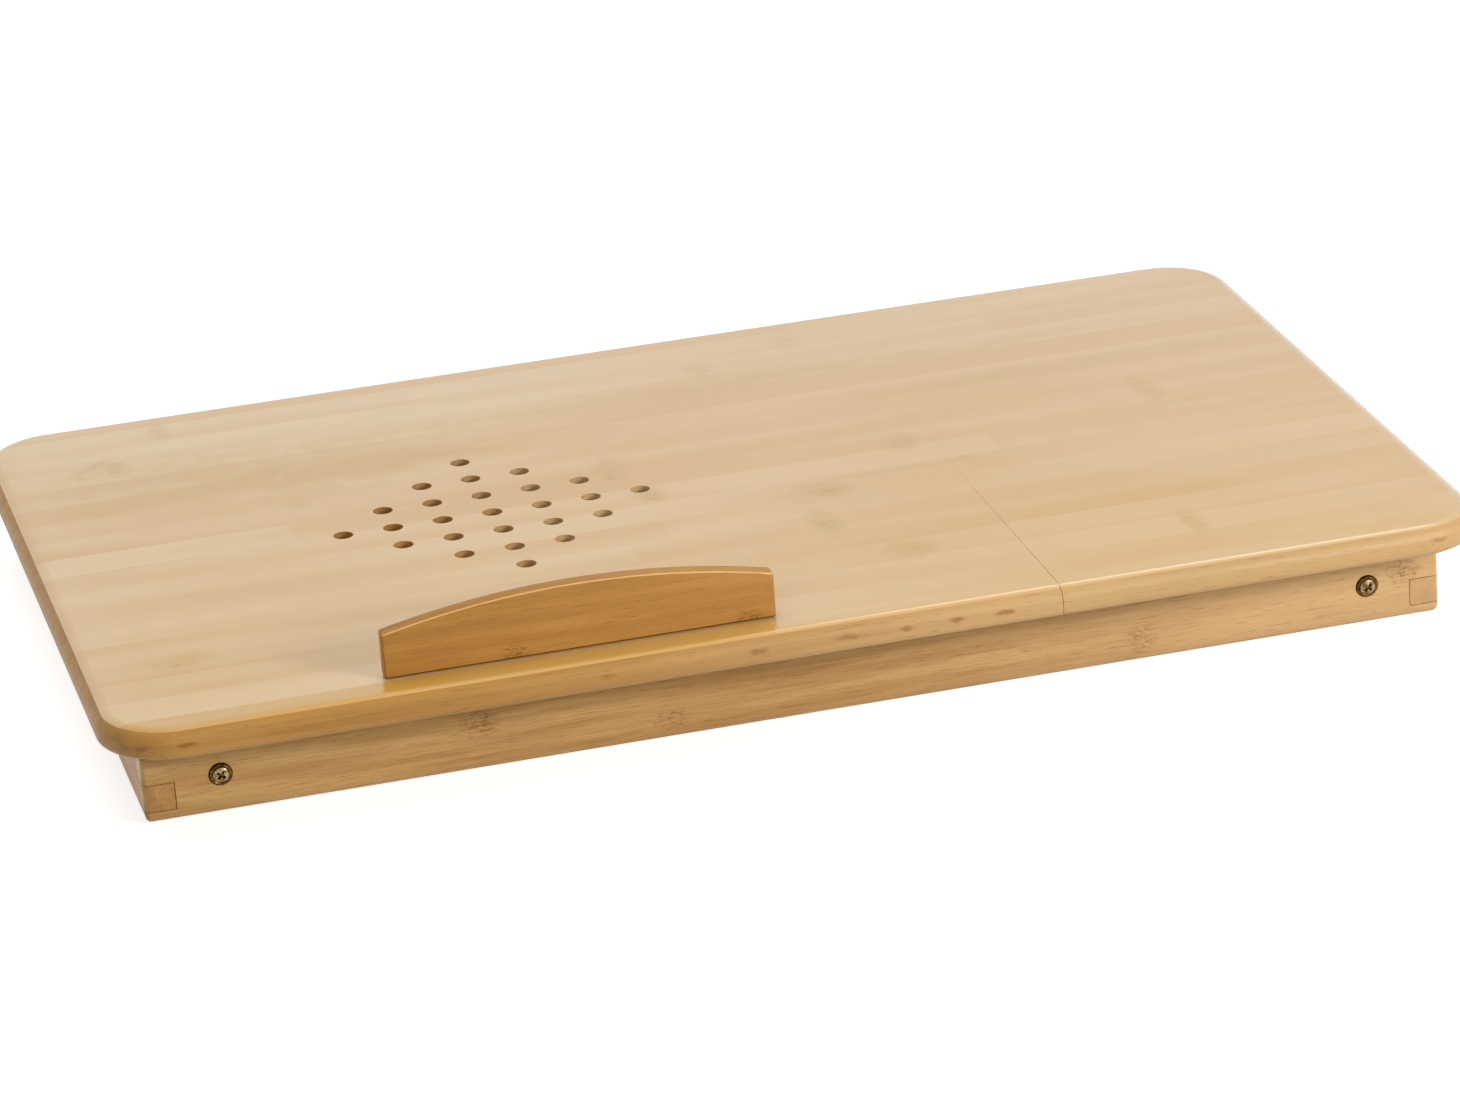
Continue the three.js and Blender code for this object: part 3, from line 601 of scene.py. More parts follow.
# %% Coordinates and patterns
def tint(red, green, blue):
    """A colour in screen values, 0 to 255, as the linear values that a shader takes."""

    def linear(value):
        value /= 255
        return value / 12.92 if value <= 0.04045 else ((value + 0.055) / 1.055) ** 2.4

    return (linear(red), linear(green), linear(blue), 1.0)


class Circuit:
    """A material under construction, with a method for each kind of pattern."""

    def __init__(self, name):
        self.material = bpy.data.materials.new(name)
        self.material.use_nodes = True
        self.nodes = self.material.node_tree.nodes
        self.links = self.material.node_tree.links
        self.shader = self.nodes["Principled BSDF"]
        self.place = self.nodes.new("ShaderNodeTexCoord").outputs["Object"]

    def feed(self, socket, value):
        """Links an output to a socket, or writes a plain value on it."""
        if isinstance(value, bpy.types.NodeSocket):
            self.links.new(value, socket)
        else:
            socket.default_value = value

    def mapped(self, scale=(1, 1, 1), turn=(0, 0, 0), shift=(0, 0, 0), source=None):
        """The coordinates turned, then stretched: a large scale makes the pattern fine."""
        node = self.nodes.new("ShaderNodeMapping")
        node.inputs["Scale"].default_value = scale
        node.inputs["Rotation"].default_value = [math.radians(angle) for angle in turn]
        node.inputs["Location"].default_value = shift
        self.links.new(source or self.place, node.inputs["Vector"])
        return node.outputs["Vector"]

    def noise(self, vector, detail=2.0, roughness=0.5, distortion=0.0):
        """Soft cloudy noise, from 0 to 1, as fine as the coordinates are scaled."""
        node = self.nodes.new("ShaderNodeTexNoise")
        node.inputs["Scale"].default_value = 1.0
        node.inputs["Detail"].default_value = detail
        node.inputs["Roughness"].default_value = roughness
        node.inputs["Distortion"].default_value = distortion
        self.links.new(vector, node.inputs["Vector"])
        return node.outputs["Fac"]

    def cells(self, vector):
        """Distance to the nearest of many scattered points."""
        node = self.nodes.new("ShaderNodeTexVoronoi")
        node.inputs["Scale"].default_value = 1.0
        self.links.new(vector, node.inputs["Vector"])
        return node.outputs["Distance"]

    def chance(self, vector):
        """One random value for each whole-numbered place."""
        node = self.nodes.new("ShaderNodeTexWhiteNoise")
        node.noise_dimensions = "3D"
        self.links.new(vector, node.inputs["Vector"])
        return node.outputs["Value"]


print("a light bamboo in a shader's values:", [round(value, 3) for value in tint(211, 178, 123)])

# %% [markdown]
# ## Sums of patterns
# Patterns are added, multiplied and brought to other ranges, until they say how much of one tone
# is mixed into another or how high the surface stands. A spot is such a sum too: the distance from
# its middle, roughened by noise and cut off at its reach. Painting spots by hand would need the
# piece unwrapped, and they would blur from close by.

# %% Sums, mixes, bumps and spots
RAGGED_SCALE = 300
MIX_FACTOR, MIX_A, MIX_B, MIX_RESULT = 0, 6, 7, 2


class Recipe(Circuit):
    """A circuit that also adds up its patterns, and mixes colours and dents by them."""

    def apart(self, vector):
        """The x, y and z of a vector as three outputs."""
        node = self.nodes.new("ShaderNodeSeparateXYZ")
        self.links.new(vector, node.inputs["Vector"])
        return node.outputs["X"], node.outputs["Y"], node.outputs["Z"]

    def vector_of(self, x, y, z):
        """Three numbers as one vector."""
        node = self.nodes.new("ShaderNodeCombineXYZ")
        for socket, value in zip(node.inputs, (x, y, z)):
            self.feed(socket, value)
        return node.outputs["Vector"]

    def sum(self, operation, a, b=0.0, c=0.0):
        """One step of arithmetic on patterns."""
        node = self.nodes.new("ShaderNodeMath")
        node.operation = operation
        for socket, value in zip(node.inputs, (a, b, c)):
            self.feed(socket, value)
        return node.outputs["Value"]

    def ranged(self, value, low, high, to_low=0.0, to_high=1.0, smooth=True):
        """Turns values between low and high into values between to_low and to_high."""
        node = self.nodes.new("ShaderNodeMapRange")
        node.interpolation_type = "SMOOTHSTEP" if smooth else "LINEAR"
        for name, number in zip(
            ("From Min", "From Max", "To Min", "To Max"), (low, high, to_low, to_high)
        ):
            node.inputs[name].default_value = number
        self.feed(node.inputs["Value"], value)
        return node.outputs["Result"]

    def mixed(self, factor, a, b):
        """Mixes two colours, by a pattern. The node has sockets for numbers and vectors too."""
        node = self.nodes.new("ShaderNodeMix")
        node.data_type = "RGBA"
        self.feed(node.inputs[MIX_FACTOR], factor)
        self.feed(node.inputs[MIX_A], a)
        self.feed(node.inputs[MIX_B], b)
        return node.outputs[MIX_RESULT]

    def bump(self, height, strength, distance):
        """Turns a height pattern into small dents and ridges on the surface."""
        node = self.nodes.new("ShaderNodeBump")
        node.inputs["Strength"].default_value = strength
        node.inputs["Distance"].default_value = distance
        self.links.new(height, node.inputs["Height"])
        self.links.new(node.outputs["Normal"], self.shader.inputs["Normal"])

    def spot(self, middle, reach, wobble, core=0.45, rag=RAGGED_SCALE):
        """An oval spot: 1 in its core, 0 outside, with a rim that wobbles by so much of it."""
        scale = tuple(1 / length for length in reach)
        shift = tuple(-place * fine for place, fine in zip(middle, scale))
        node = self.nodes.new("ShaderNodeVectorMath")
        node.operation = "LENGTH"
        self.links.new(self.mapped(scale=scale, shift=shift), node.inputs[0])
        rough = self.noise(self.mapped(scale=(rag, rag, rag)), detail=3)
        distance = self.sum("MULTIPLY_ADD", rough, wobble, node.outputs["Value"])
        return self.ranged(distance, core + wobble / 2, 1.0 + wobble / 2, 1.0, 0.0)


print("a recipe can add:", [step for step in vars(Recipe) if not step.startswith("_")])

# %% [markdown]
# ## Strips of bamboo
# Bamboo lumber is glued up from strips about 20 mm wide and a few thick, each from another stalk
# and so with a tone of its own. A strip's row and course give it a random number. That number
# picks its tone, and also shifts the place where the strip reads the noise, so that no band runs
# on from one strip into the next.

# %% Lay the strips
GRAIN_TURNS = {"x": (0, 0, 0), "y": (0, 0, 90)}
LENGTHS_PER_METRE = 1.9
STRIP_DRIFT = 40.0
STRIP_SEED = 3.0


def lay_strips(recipe, grain, strip, layer):
    """The place in the strip's own stretch of noise, and the strip's tone from 0 to 1."""
    x, y, z = recipe.apart(recipe.mapped(turn=GRAIN_TURNS[grain]))
    row = recipe.sum("FLOOR", recipe.sum("DIVIDE", y, strip))
    course = recipe.sum("FLOOR", recipe.sum("DIVIDE", z, layer))
    start = recipe.chance(recipe.vector_of(row, course, STRIP_SEED))
    length = recipe.sum("FLOOR", recipe.sum("MULTIPLY_ADD", x, LENGTHS_PER_METRE, start))
    tone = recipe.chance(recipe.vector_of(row, course, length))
    drift = recipe.sum("MULTIPLY", start, STRIP_DRIFT)
    return recipe.vector_of(recipe.sum("ADD", x, drift), y, z), tone


def paint_light_to_right(recipe, colour, painted_light_to_right):
    """Mixes a second tone in, from one x to another, up to a share: painted light and shade."""
    if painted_light_to_right is None:
        return colour
    from_x, to_x, share, tone = painted_light_to_right
    # painted light and shade: the tone towards the right end stands for how the lamps light that
    # end
    painted_light_share = recipe.ranged(recipe.apart(recipe.place)[0], from_x, to_x, 0.0, share)
    return recipe.mixed(painted_light_share, colour, tint(*tone))


print("along the grain a strip changes tone", LENGTHS_PER_METRE, "times in a metre")

# %% [markdown]
# ## Knuckles and knots
# A stalk has a knuckle at each joint. On a sawn face it shows as curly dark lines with light
# between them, and on the polished top as a soft smudge with a few strokes in it. Where the
# router cuts through one, a dark oval knot is left. Each mark is a ragged spot that says how much
# of a darker tone is mixed in there. A spot can be placed freely, while a pattern of noise alone
# would put the marks anywhere.

# %% Marks in the wood
WIDEST_KNUCKLE = 30 * MM
CURL_SCALE = (190, 560, 560)
MOTTLE_SCALE = (55, 85, 85)
STROKE_SCALE = (75, 300, 300)
SMUDGE_RAG = 90
STROKE_SHARES = (0.66, 0.66, 0.66)
KNOT_SHARES = (0.88, 0.79, 0.60)


def darkened(colour, shares):
    """A screen colour, each of its three values brought down to a share."""
    return tuple(value * share for value, share in zip(colour, shares))


def add_smudges(recipe, colour, smudges, dark):
    """Soft cloudy spots. The short ones are knuckles and have darker strokes in them."""
    if not smudges:
        return colour
    mottle = recipe.noise(recipe.mapped(MOTTLE_SCALE), detail=4, roughness=0.6, distortion=0.4)
    cloudy = recipe.ranged(mottle, 0.30, 0.62, 0.35, 1.0)
    streaks = recipe.noise(recipe.mapped(STROKE_SCALE), detail=3, distortion=1.6)
    strokes = recipe.ranged(streaks, 0.55, 0.66, 0.0, 0.55)
    for middle, reach, strength in smudges:
        mark = recipe.spot(middle, reach, wobble=0.7, core=0.1, rag=SMUDGE_RAG)
        mark = recipe.sum("MULTIPLY", recipe.sum("MULTIPLY", mark, cloudy), strength)
        colour = recipe.mixed(mark, colour, tint(*dark))
        if reach[0] < WIDEST_KNUCKLE:
            mark = recipe.sum("MULTIPLY", mark, strokes)
            colour = recipe.mixed(mark, colour, tint(*darkened(dark, STROKE_SHARES)))
    return colour


def add_knuckles(recipe, colour, knuckles, pale, dark):
    """Ovals with light patches and curly dark lines."""
    if not knuckles:
        return colour
    curls = recipe.noise(recipe.mapped(CURL_SCALE), detail=3, roughness=0.6, distortion=2.2)
    lines = recipe.ranged(curls, 0.48, 0.60, 0.12, 1.0)
    lights = recipe.ranged(curls, 0.44, 0.34, 0.0, 0.5)
    for middle, reach, strength in knuckles:
        mark = recipe.spot(middle, reach, wobble=0.6)
        for pattern, tone in ((lights, pale), (lines, dark)):
            share = recipe.sum("MULTIPLY", recipe.sum("MULTIPLY", mark, pattern), strength)
            colour = recipe.mixed(share, colour, tint(*tone))
    return colour


def add_knots(recipe, colour, knots, deep):
    """Small dark ovals with frayed rims."""
    for middle, reach, strength in knots:
        mark = recipe.sum("MULTIPLY", recipe.spot(middle, reach, wobble=1.3, core=0.2), strength)
        colour = recipe.mixed(mark, colour, tint(*darkened(deep, KNOT_SHARES)))
    return colour


print("smudges that reach less than", WIDEST_KNUCKLE / MM, "mm along the grain get strokes")

# %% [markdown]
# ## Cut ends
# Cut across, bamboo shows dark dots, the ends of its fibres. The finger joints bring such end
# grain to the outside of the frame. It begins at a distance from the table's middle, measured
# along the piece, so one finish can serve both the long faces and the ends.

# %% Cut ends
RING_SCALE = (160, 160, 160)
DOT_SCALE = (1250, 1250, 1250)
DOT_SHARES = (0.55, 0.55, 0.55)


def add_ends(recipe, colour, ends, painted_light_to_right):
    """End grain, where the surface lies farther out along an axis than the two lengths given."""
    if ends is None:
        return colour
    axis, starts, full, pale, deep = ends
    reach = recipe.sum("ABSOLUTE", recipe.apart(recipe.place)["xyz".index(axis)])
    rings = recipe.noise(recipe.mapped(RING_SCALE), detail=3)
    end_colour = recipe.mixed(recipe.ranged(rings, 0.3, 0.7), tint(*pale), tint(*deep))
    dots = recipe.ranged(recipe.cells(recipe.mapped(DOT_SCALE)), 0.12, 0.42, 0.4, 0.0)
    end_colour = recipe.mixed(dots, end_colour, tint(*darkened(deep, DOT_SHARES)))
    # the end grain gets the painted light towards the right too
    end_colour = paint_light_to_right(recipe, end_colour, painted_light_to_right)
    return recipe.mixed(recipe.ranged(reach, starts, full), colour, end_colour)


print("the fibre ends lie about", round(1000 / DOT_SCALE[0], 1), "mm apart")

# %% [markdown]
# ## The bamboo recipe
# One recipe makes all the bamboo: the strips' tones, long soft bands, short dashes, broad clouds
# and fine fibres add up to a depth, and the depth mixes a pale tone with a deep one. A photograph
# of wood would be quicker, but it repeats and has one grain direction. The lacquer is the
# shader's coat, and the fibres also give the roughness and a bump that can just be felt.

# %% Bamboo
DASH_SCALE = (15, 190, 190)
CLOUD_SCALE = (3.2, 22, 22)
FIBRE_SCALE = (26, 1500, 1500)
FLECK_SCALE = (110, 2600, 2600)
CLOUD_SHARE = 0.18
DEEPEST = 1.1
DARK_SHARES = (0.72, 0.64, 0.52)
COAT_ROUGHNESS = 0.13
GRAIN_HEIGHT = 0.12 * MM


def bamboo(
    name, pale, deep, dark=None, painted_light_to_right=None,
    grain="x", strip=0.020, layer=0.0061, strip_spread=0.35,
    band_share=0.42, band_detail=3, band_scale=(9, 120, 120),
    fibre_share=0.20, dash_share=0.12, pore_share=0.35,
    knuckles=(), smudges=(), knots=(), ends=None,
    gloss=(0.30, 0.42), coat=0.0, shine=0.5, relief=0.12,
):
    """A lacquered bamboo finish: pale and deep are its two tones, grain the axis of its fibres.

    Strips and layers are in metres. The shares say how far a pattern draws towards the deep tone.
    """
    recipe = Recipe(name)
    own_place, tone = lay_strips(recipe, grain, strip, layer)

    def streaks(scale, **settings):
        """Noise that is stretched along the grain, in the strip's own place."""
        return recipe.noise(recipe.mapped(scale, source=own_place), **settings)

    bands = streaks(band_scale, detail=band_detail, roughness=0.55)
    dashes = streaks(DASH_SCALE, detail=2)
    fibres = streaks(FIBRE_SCALE, detail=3, roughness=0.6)
    flecks = streaks(FLECK_SCALE, detail=1)
    clouds = recipe.noise(recipe.mapped(CLOUD_SCALE), detail=2)

    depth = recipe.sum("MULTIPLY", tone, strip_spread)
    for pattern, low, high, share in (
        (bands, 0.32, 0.70, band_share),
        (dashes, 0.54, 0.74, dash_share),
        (clouds, 0.30, 0.70, CLOUD_SHARE),
        (fibres, 0.35, 0.72, fibre_share),
    ):
        depth = recipe.sum("MULTIPLY_ADD", recipe.ranged(pattern, low, high), share, depth)
    depth = recipe.ranged(depth, 0.0, DEEPEST, smooth=False)
    colour = recipe.mixed(depth, tint(*pale), tint(*deep))
    # painted light and shade towards the right end of the table
    colour = paint_light_to_right(recipe, colour, painted_light_to_right)

    dark = dark or darkened(deep, DARK_SHARES)
    pores = recipe.ranged(flecks, 0.60, 0.74, 0.0, pore_share)
    colour = recipe.mixed(pores, colour, tint(*dark))
    colour = add_smudges(recipe, colour, smudges, dark)
    colour = add_knuckles(recipe, colour, knuckles, pale, dark)
    colour = add_knots(recipe, colour, knots, deep)
    colour = add_ends(recipe, colour, ends, painted_light_to_right)

    shader = recipe.shader.inputs
    recipe.links.new(colour, shader["Base Color"])
    recipe.links.new(recipe.ranged(fibres, 0.30, 0.75, *gloss), shader["Roughness"])
    shader["Specular IOR Level"].default_value = shine
    if coat:
        shader["Coat Weight"].default_value = coat
        shader["Coat Roughness"].default_value = COAT_ROUGHNESS
    recipe.bump(recipe.sum("MULTIPLY_ADD", bands, 0.5, fibres), relief, GRAIN_HEIGHT)
    return recipe.material


print("across the grain there are", round(FIBRE_SCALE[1] / 1000, 1), "fibres in a millimetre")

# %% [markdown]
# ## Where the marks lie
# The knuckles, bands and knots that catch the eye lie at about the places that they have on the
# real table, and a few are added where no picture shows it, so that the back isn't plainer.
# Each row gives a mark's middle and its reach from there, in millimetres, and its strength.

# %% Place the marks
def marks(rows):
    """Marks from rows of x, y, z, reach along x, y and z, and strength."""
    return [
        (tuple(v * MM for v in row[:3]), tuple(v * MM for v in row[3:6]), row[6]) for row in rows
    ]


TOP_Z, STOP_Y, INTO_WOOD = 47.3, -158, 20
top_smudges = marks(
    (x, y, TOP_Z, length, width, INTO_WOOD, strength)
    for x, y, length, width, strength in (
        (-175, 85, 130, 60, 0.70),
        (-200, 152, 7, 19, 0.79),
        (-230, 115, 20, 15, 0.95),
        (-130, 74.5, 85, 15, 1.00),
        (-162, 83, 17, 10, 0.79),
        (-220, 70, 50, 11, 0.79),
        (-160, 42, 14, 10, 0.47),
        (30, 125, 9, 19, 0.72),
        (75, 150, 11, 16, 0.55),
        (-33, 26, 9, 21, 0.79),
        (-25, -10, 12, 11, 0.72),
        (197, 25, 9, 21, 0.86),
        (85, 7, 11, 14, 0.95),
        (38, -35, 21, 13, 0.95),
        (42, -39, 11, 6, 1.00),
        (32, -70, 9, 23, 0.79),
        (55, -110, 15, 14, 0.72),
        (165, -128, 7, 18, 0.66),
        (-235, -107, 17, 14, 0.72),
        (80, 106, 240, 14, 0.62),
        (160, 67, 150, 13, 0.66),
        (70, -24, 80, 6, 0.47),
    )
)
edge_knots = marks((
    (-267.4, -165.0, 40.0, 2.6, 6, 2.0, 0.85),
    (-261.4, -170.1, 40.3, 3.0, 6, 1.6, 0.75),
    (-245.1, -175, 41.3, 7.0, 10, 1.4, 0.80),
    (-83, -175, 41.2, 4.2, 10, 1.5, 0.45),
    (-24, -175, 41.4, 5.2, 10, 1.8, 0.60),
    (11, -175, 41.4, 10.0, 10, 1.6, 0.50),
    (34, -175, 41.1, 3.4, 10, 1.5, 0.60),
    (54, -175, 41.4, 4.4, 10, 1.5, 0.70),
    (74, -175, 41.2, 5.0, 10, 1.3, 0.62),
    (250, -175, 41.7, 6.0, 10, 1.6, 0.50),
    (140, 175, 41.0, 6.0, 10, 1.5, 0.55),
    (-110, 175, 41.5, 4.8, 10, 1.6, 0.60),
))
rail_knuckles = marks(
    (x, y, z, length, INTO_WOOD, height, strength)
    for x, y, z, length, height, strength in (
        (-129.4, -147.5, 19.0, 10.0, 7.5, 0.62),
        (-54, -147.5, 7.8, 9.5, 6.2, 0.50),
        (136, -147.5, 9.5, 8.5, 6.6, 0.42),
        (245, -147.5, 20.0, 8.5, 7.0, 0.60),
        (60, 147.5, 20.5, 9.0, 6.8, 0.70),
        (-170, 147.5, 12.0, 8.5, 6.0, 0.70),
    )
)
stop_knuckles = marks((
    (-115.2, STOP_Y, 50.0, 7.0, INTO_WOOD, 4.5, 0.60),
    (-23.1, STOP_Y, 49.0, 7.0, INTO_WOOD, 4.0, 0.55),
))
print("marks on the top:", len(top_smudges), "and on its edges:", len(edge_knots))
print("marks on the rails:", len(rail_knuckles), "and on the book stop:", len(stop_knuckles))

# %% [markdown]
# ## The finishes of the top
# The top has the smoothest lacquer, so it mirrors the white surroundings and looks pale from low
# down, with hardly a fibre to be seen; towards the right it is painted a deeper gold, painted
# shade.
# Its arris has the same polish and a painted highlight that makes it paler to the right. The
# routed edges cut through the strips and show a deeper gold, with oval knots, and a painted sheen
# makes them paler to the right. The vent holes and the underside are matt, and the vent walls are
# painted paler to the right, painted light. Each finish is the one recipe with other settings.

# %% Mix the finishes of the top
polished = {
    "gloss": (0.29, 0.33), "coat": 0.85, "strip_spread": 0.44, "band_share": 0.62,
    "band_detail": 1.2, "fibre_share": 0.04, "dash_share": 0.05, "pore_share": 0.04,
    "relief": 0.01, "band_scale": (5, 36, 36),
}
# painted shade: the top is painted a deeper gold towards the right
top_bamboo = bamboo(
    "top bamboo", pale=(211, 178, 123), deep=(196, 148, 58), dark=(185, 140, 0), **polished,
    smudges=top_smudges, painted_light_to_right=(-0.14, 0.06, 0.36, (203, 151, 60)),
)
# painted highlight: the arris is painted paler towards the right
arris_bamboo = bamboo(
    "arris bamboo", pale=(208, 170, 106), deep=(198, 149, 59), **polished,
    painted_light_to_right=(0.02, 0.25, 0.70, (202, 168, 118)),
)
# painted sheen: the routed edges are painted paler towards the right
edge_bamboo = bamboo(
    "routed edge bamboo", pale=(184, 138, 72), deep=(152, 104, 42), strip=0.5, layer=0.006,
    knots=edge_knots, gloss=(0.42, 0.54), shine=0.34, relief=0.06, band_scale=(10, 90, 260),
    painted_light_to_right=(-0.14, 0.10, 0.58, (206, 172, 122)),
    ends=("x", 0.2655, 0.2690, (170, 126, 60), (154, 110, 48)),
)
under_bamboo = bamboo("underside bamboo", pale=(206, 166, 104), deep=(174, 130, 70))
# painted light: the vent walls are painted paler towards the right
vent_wall = bamboo(
    "vent wall bamboo", pale=(196, 146, 80), deep=(150, 104, 46), strip=0.5, layer=0.004,
    gloss=(0.55, 0.7), fibre_share=0.4, painted_light_to_right=(-0.14, -0.04, 0.8, (206, 176, 128)),
)
board_finishes = (top_bamboo, edge_bamboo, under_bamboo, vent_wall, arris_bamboo)
print("for the boards:", [finish.name for finish in board_finishes])

# %% [markdown]
# ## The finishes of the frame
# The rails are sawn from one strip each, so a strip width larger than the rail gives them a
# single tone. The front and the back rail show end grain on their fingers at the two ends of the
# table, the side rails at the front and the back. Legs and drawer sides run along the table,
# stretchers and the prop across it, which turns the grain.

# %% Mix the finishes of the frame
rail_look = {
    "pale": (209, 170, 110), "deep": (164, 119, 66), "strip": 0.5, "layer": 0.5,
    "band_share": 0.55, "fibre_share": 0.32, "band_scale": (9, 150, 150),
}
# painted light: the front and back rails are painted paler towards the right
rail_bamboo = bamboo(
    "rail bamboo", **rail_look, knuckles=rail_knuckles, shine=0.18,
    painted_light_to_right=(-0.05, 0.25, 0.60, (214, 180, 132)),
    ends=("x", 0.2596, 0.2600, (202, 162, 112), (176, 134, 88)),
)
# painted light: the side rails are painted paler towards the right
side_rail_bamboo = bamboo(
    "side rail bamboo", **rail_look, grain="y", shine=0.22, gloss=(0.40, 0.50),
    painted_light_to_right=(-0.16, 0.26, 0.55, (212, 176, 128)),
    ends=("y", 0.1471, 0.1475, (190, 144, 88), (160, 116, 66)),
)
leg_bamboo = bamboo(
    "leg bamboo", pale=(208, 170, 116), deep=(176, 134, 82), strip=0.012, layer=0.020,
    ends=("x", 0.2396, 0.2400, (190, 156, 120), (156, 118, 84)),
)
cross_bamboo = bamboo(
    "cross bamboo", pale=(206, 166, 112), deep=(174, 132, 80), grain="y",
    ends=("y", 0.1331, 0.1335, (190, 156, 120), (156, 118, 84)),
)
frame_finishes = (rail_bamboo, side_rail_bamboo, leg_bamboo, cross_bamboo)
print("for the frame, legs and prop:", [finish.name for finish in frame_finishes])

# %% [markdown]
# ## The finishes of the book stop
# The book stop is the warmest piece, cut from steamed bamboo, painted paler towards the right as
# painted light. Its arris is painted paler, a painted highlight, and the groove at its foot is
# painted dark, a painted shade.

# %% Mix the finishes of the book stop
one_strip = {"strip": 0.5, "layer": 0.5}
# painted light: the stop's face is painted paler towards the right
stop_bamboo = bamboo(
    "stop bamboo", pale=(190, 140, 70), deep=(154, 104, 44), **one_strip,
    knuckles=stop_knuckles, gloss=(0.42, 0.55), band_share=0.5, fibre_share=0.3,
    band_scale=(9, 140, 140), shine=0.12, painted_light_to_right=(-0.20, -0.015, 0.16, (204, 158, 96)),
)
# painted highlight on the stop's top arrises
stop_arris_highlight = bamboo(
    "stop arris painted highlight bamboo", pale=(226, 182, 116), deep=(204, 154, 86), **one_strip,
    gloss=(0.34, 0.46), band_share=0.5, shine=0.4,
)
# painted shade in the groove at the stop's foot
groove_shade = bamboo(
    "groove painted shade bamboo", pale=(104, 66, 24), deep=(62, 36, 10), **one_strip,
    gloss=(0.6, 0.75), shine=0.1,
)
stop_finishes = (stop_bamboo, stop_arris_highlight, groove_shade)
print("for the book stop:", [finish.name for finish in stop_finishes])

# %% [markdown]
# ## Metal
# The screws and nuts are brass that was darkened and then rubbed bright where hands touch it. The
# hinges and washers are zinc-plated steel, whose crystals give patches of light and dark grey.

# %% Mix the metal finishes
SCRATCH_SCALE = (900, 5200, 2600)
SCRATCH_HEIGHT = 0.03 * MM


def aged_metal(name, bright, dark, patch, gloss, spangle=0.0):
    """A metal with darker patches, fine scratches and a roughness that follows them."""
    recipe = Recipe(name)
    patches = recipe.noise(recipe.mapped((patch, patch, patch)), detail=4, roughness=0.62)
    scratches = recipe.noise(recipe.mapped(SCRATCH_SCALE), detail=2)
    worn = recipe.ranged(patches, 0.36, 0.66)
    if spangle:
        crystals = recipe.cells(recipe.mapped((spangle, spangle, spangle)))
        worn = recipe.sum("MULTIPLY_ADD", recipe.ranged(crystals, 0.1, 0.8), 0.5, worn)
        worn = recipe.ranged(worn, 0.1, 1.4, smooth=False)
    colour = recipe.mixed(worn, tint(*dark), tint(*bright))
    recipe.links.new(colour, recipe.shader.inputs["Base Color"])
    recipe.shader.inputs["Metallic"].default_value = 1.0
    recipe.links.new(recipe.ranged(patches, 0.3, 0.7, *gloss), recipe.shader.inputs["Roughness"])
    recipe.bump(recipe.sum("ADD", patches, scratches), 0.25, SCRATCH_HEIGHT)
    return recipe.material


antique_brass = aged_metal(
    "antique brass", bright=(186, 164, 124), dark=(96, 76, 48), patch=520, gloss=(0.34, 0.20)
)
dark_bronze = aged_metal(
    "dark bronze", bright=(128, 94, 44), dark=(58, 38, 16), patch=760, gloss=(0.42, 0.28)
)
zinc_steel = aged_metal(
    "zinc steel", bright=(186, 188, 190), dark=(128, 132, 136), patch=240, gloss=(0.36, 0.24),
    spangle=420,
)
print("metals:", [finish.name for finish in (antique_brass, dark_bronze, zinc_steel)])

# %% [markdown]
# ## Two metals on one screw
# The dome is the brighter brass and the ring round it is dark bronze. Each face takes its finish
# from its distance to the screw's axis: the ring, the recess and the shank get the dark bronze.

# %% Give the screws their two finishes
def finish_screw(piece, corner):
    """Dark bronze all over, antique brass on the dome, whose faces it counts."""
    low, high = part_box("pivot_screw_" + corner)
    x, z = (low.x + high.x) / 2, (low.z + high.z) / 2
    face_y = low.y if corner.startswith("front") else high.y
    piece.data.materials.clear()
    piece.data.materials.append(dark_bronze)
    piece.data.materials.append(antique_brass)
    for face in piece.data.polygons:
        off_axis = math.hypot(face.center.x - x, face.center.z - z)
        depth = abs(face.center.y - face_y)
        on_dome = off_axis < DOME_RADIUS and depth < DOME_DEPTH + NEAR_ENOUGH
        face.material_index = 1 if on_dome else 0
    return sum(face.material_index for face in piece.data.polygons)


for corner, piece in screws.items():
    bright_faces = finish_screw(piece, corner)
    print(piece.name, "has", bright_faces, "bright faces on its dome")

# %% [markdown]
# ## Which node gets which finish
# The packed solids that stay in view keep their shape and only change their finish. Their meshes
# are loose triangles, so a Weld modifier joins them and a narrow Bevel eases the arrises, as
# sandpaper does. The mesh itself isn't touched.

# %% Dress the packed solids
FINISH_BY_START = (
    (("hinge", "prop_pin", "pivot_washer"), zinc_steel),
    (("pivot_nut", "pivot_screw"), dark_bronze),
    (("front_rail", "back_rail"), rail_bamboo),
    (("left_rail", "right_rail"), side_rail_bamboo),
    (("left_leg_stretcher", "right_leg_stretcher", "divider_rail"), cross_bamboo),
    (("drawer_front", "drawer_back", "book_stop_dowel"), cross_bamboo),
    (("prop_arm", "prop_rack", "prop_bracket"), cross_bamboo),
)
ARRIS, RAIL_ARRIS = 0.35 * MM, 0.05 * MM
ARRIS_STEPS = 2
ARRIS_ANGLE = 50
WELD_DISTANCE = 0.002 * MM


def finish_for(name):
    """The finish that a packed solid takes, from how its name starts."""
    for starts, finish in FINISH_BY_START:
        if name.startswith(starts):
            return finish
    return leg_bamboo


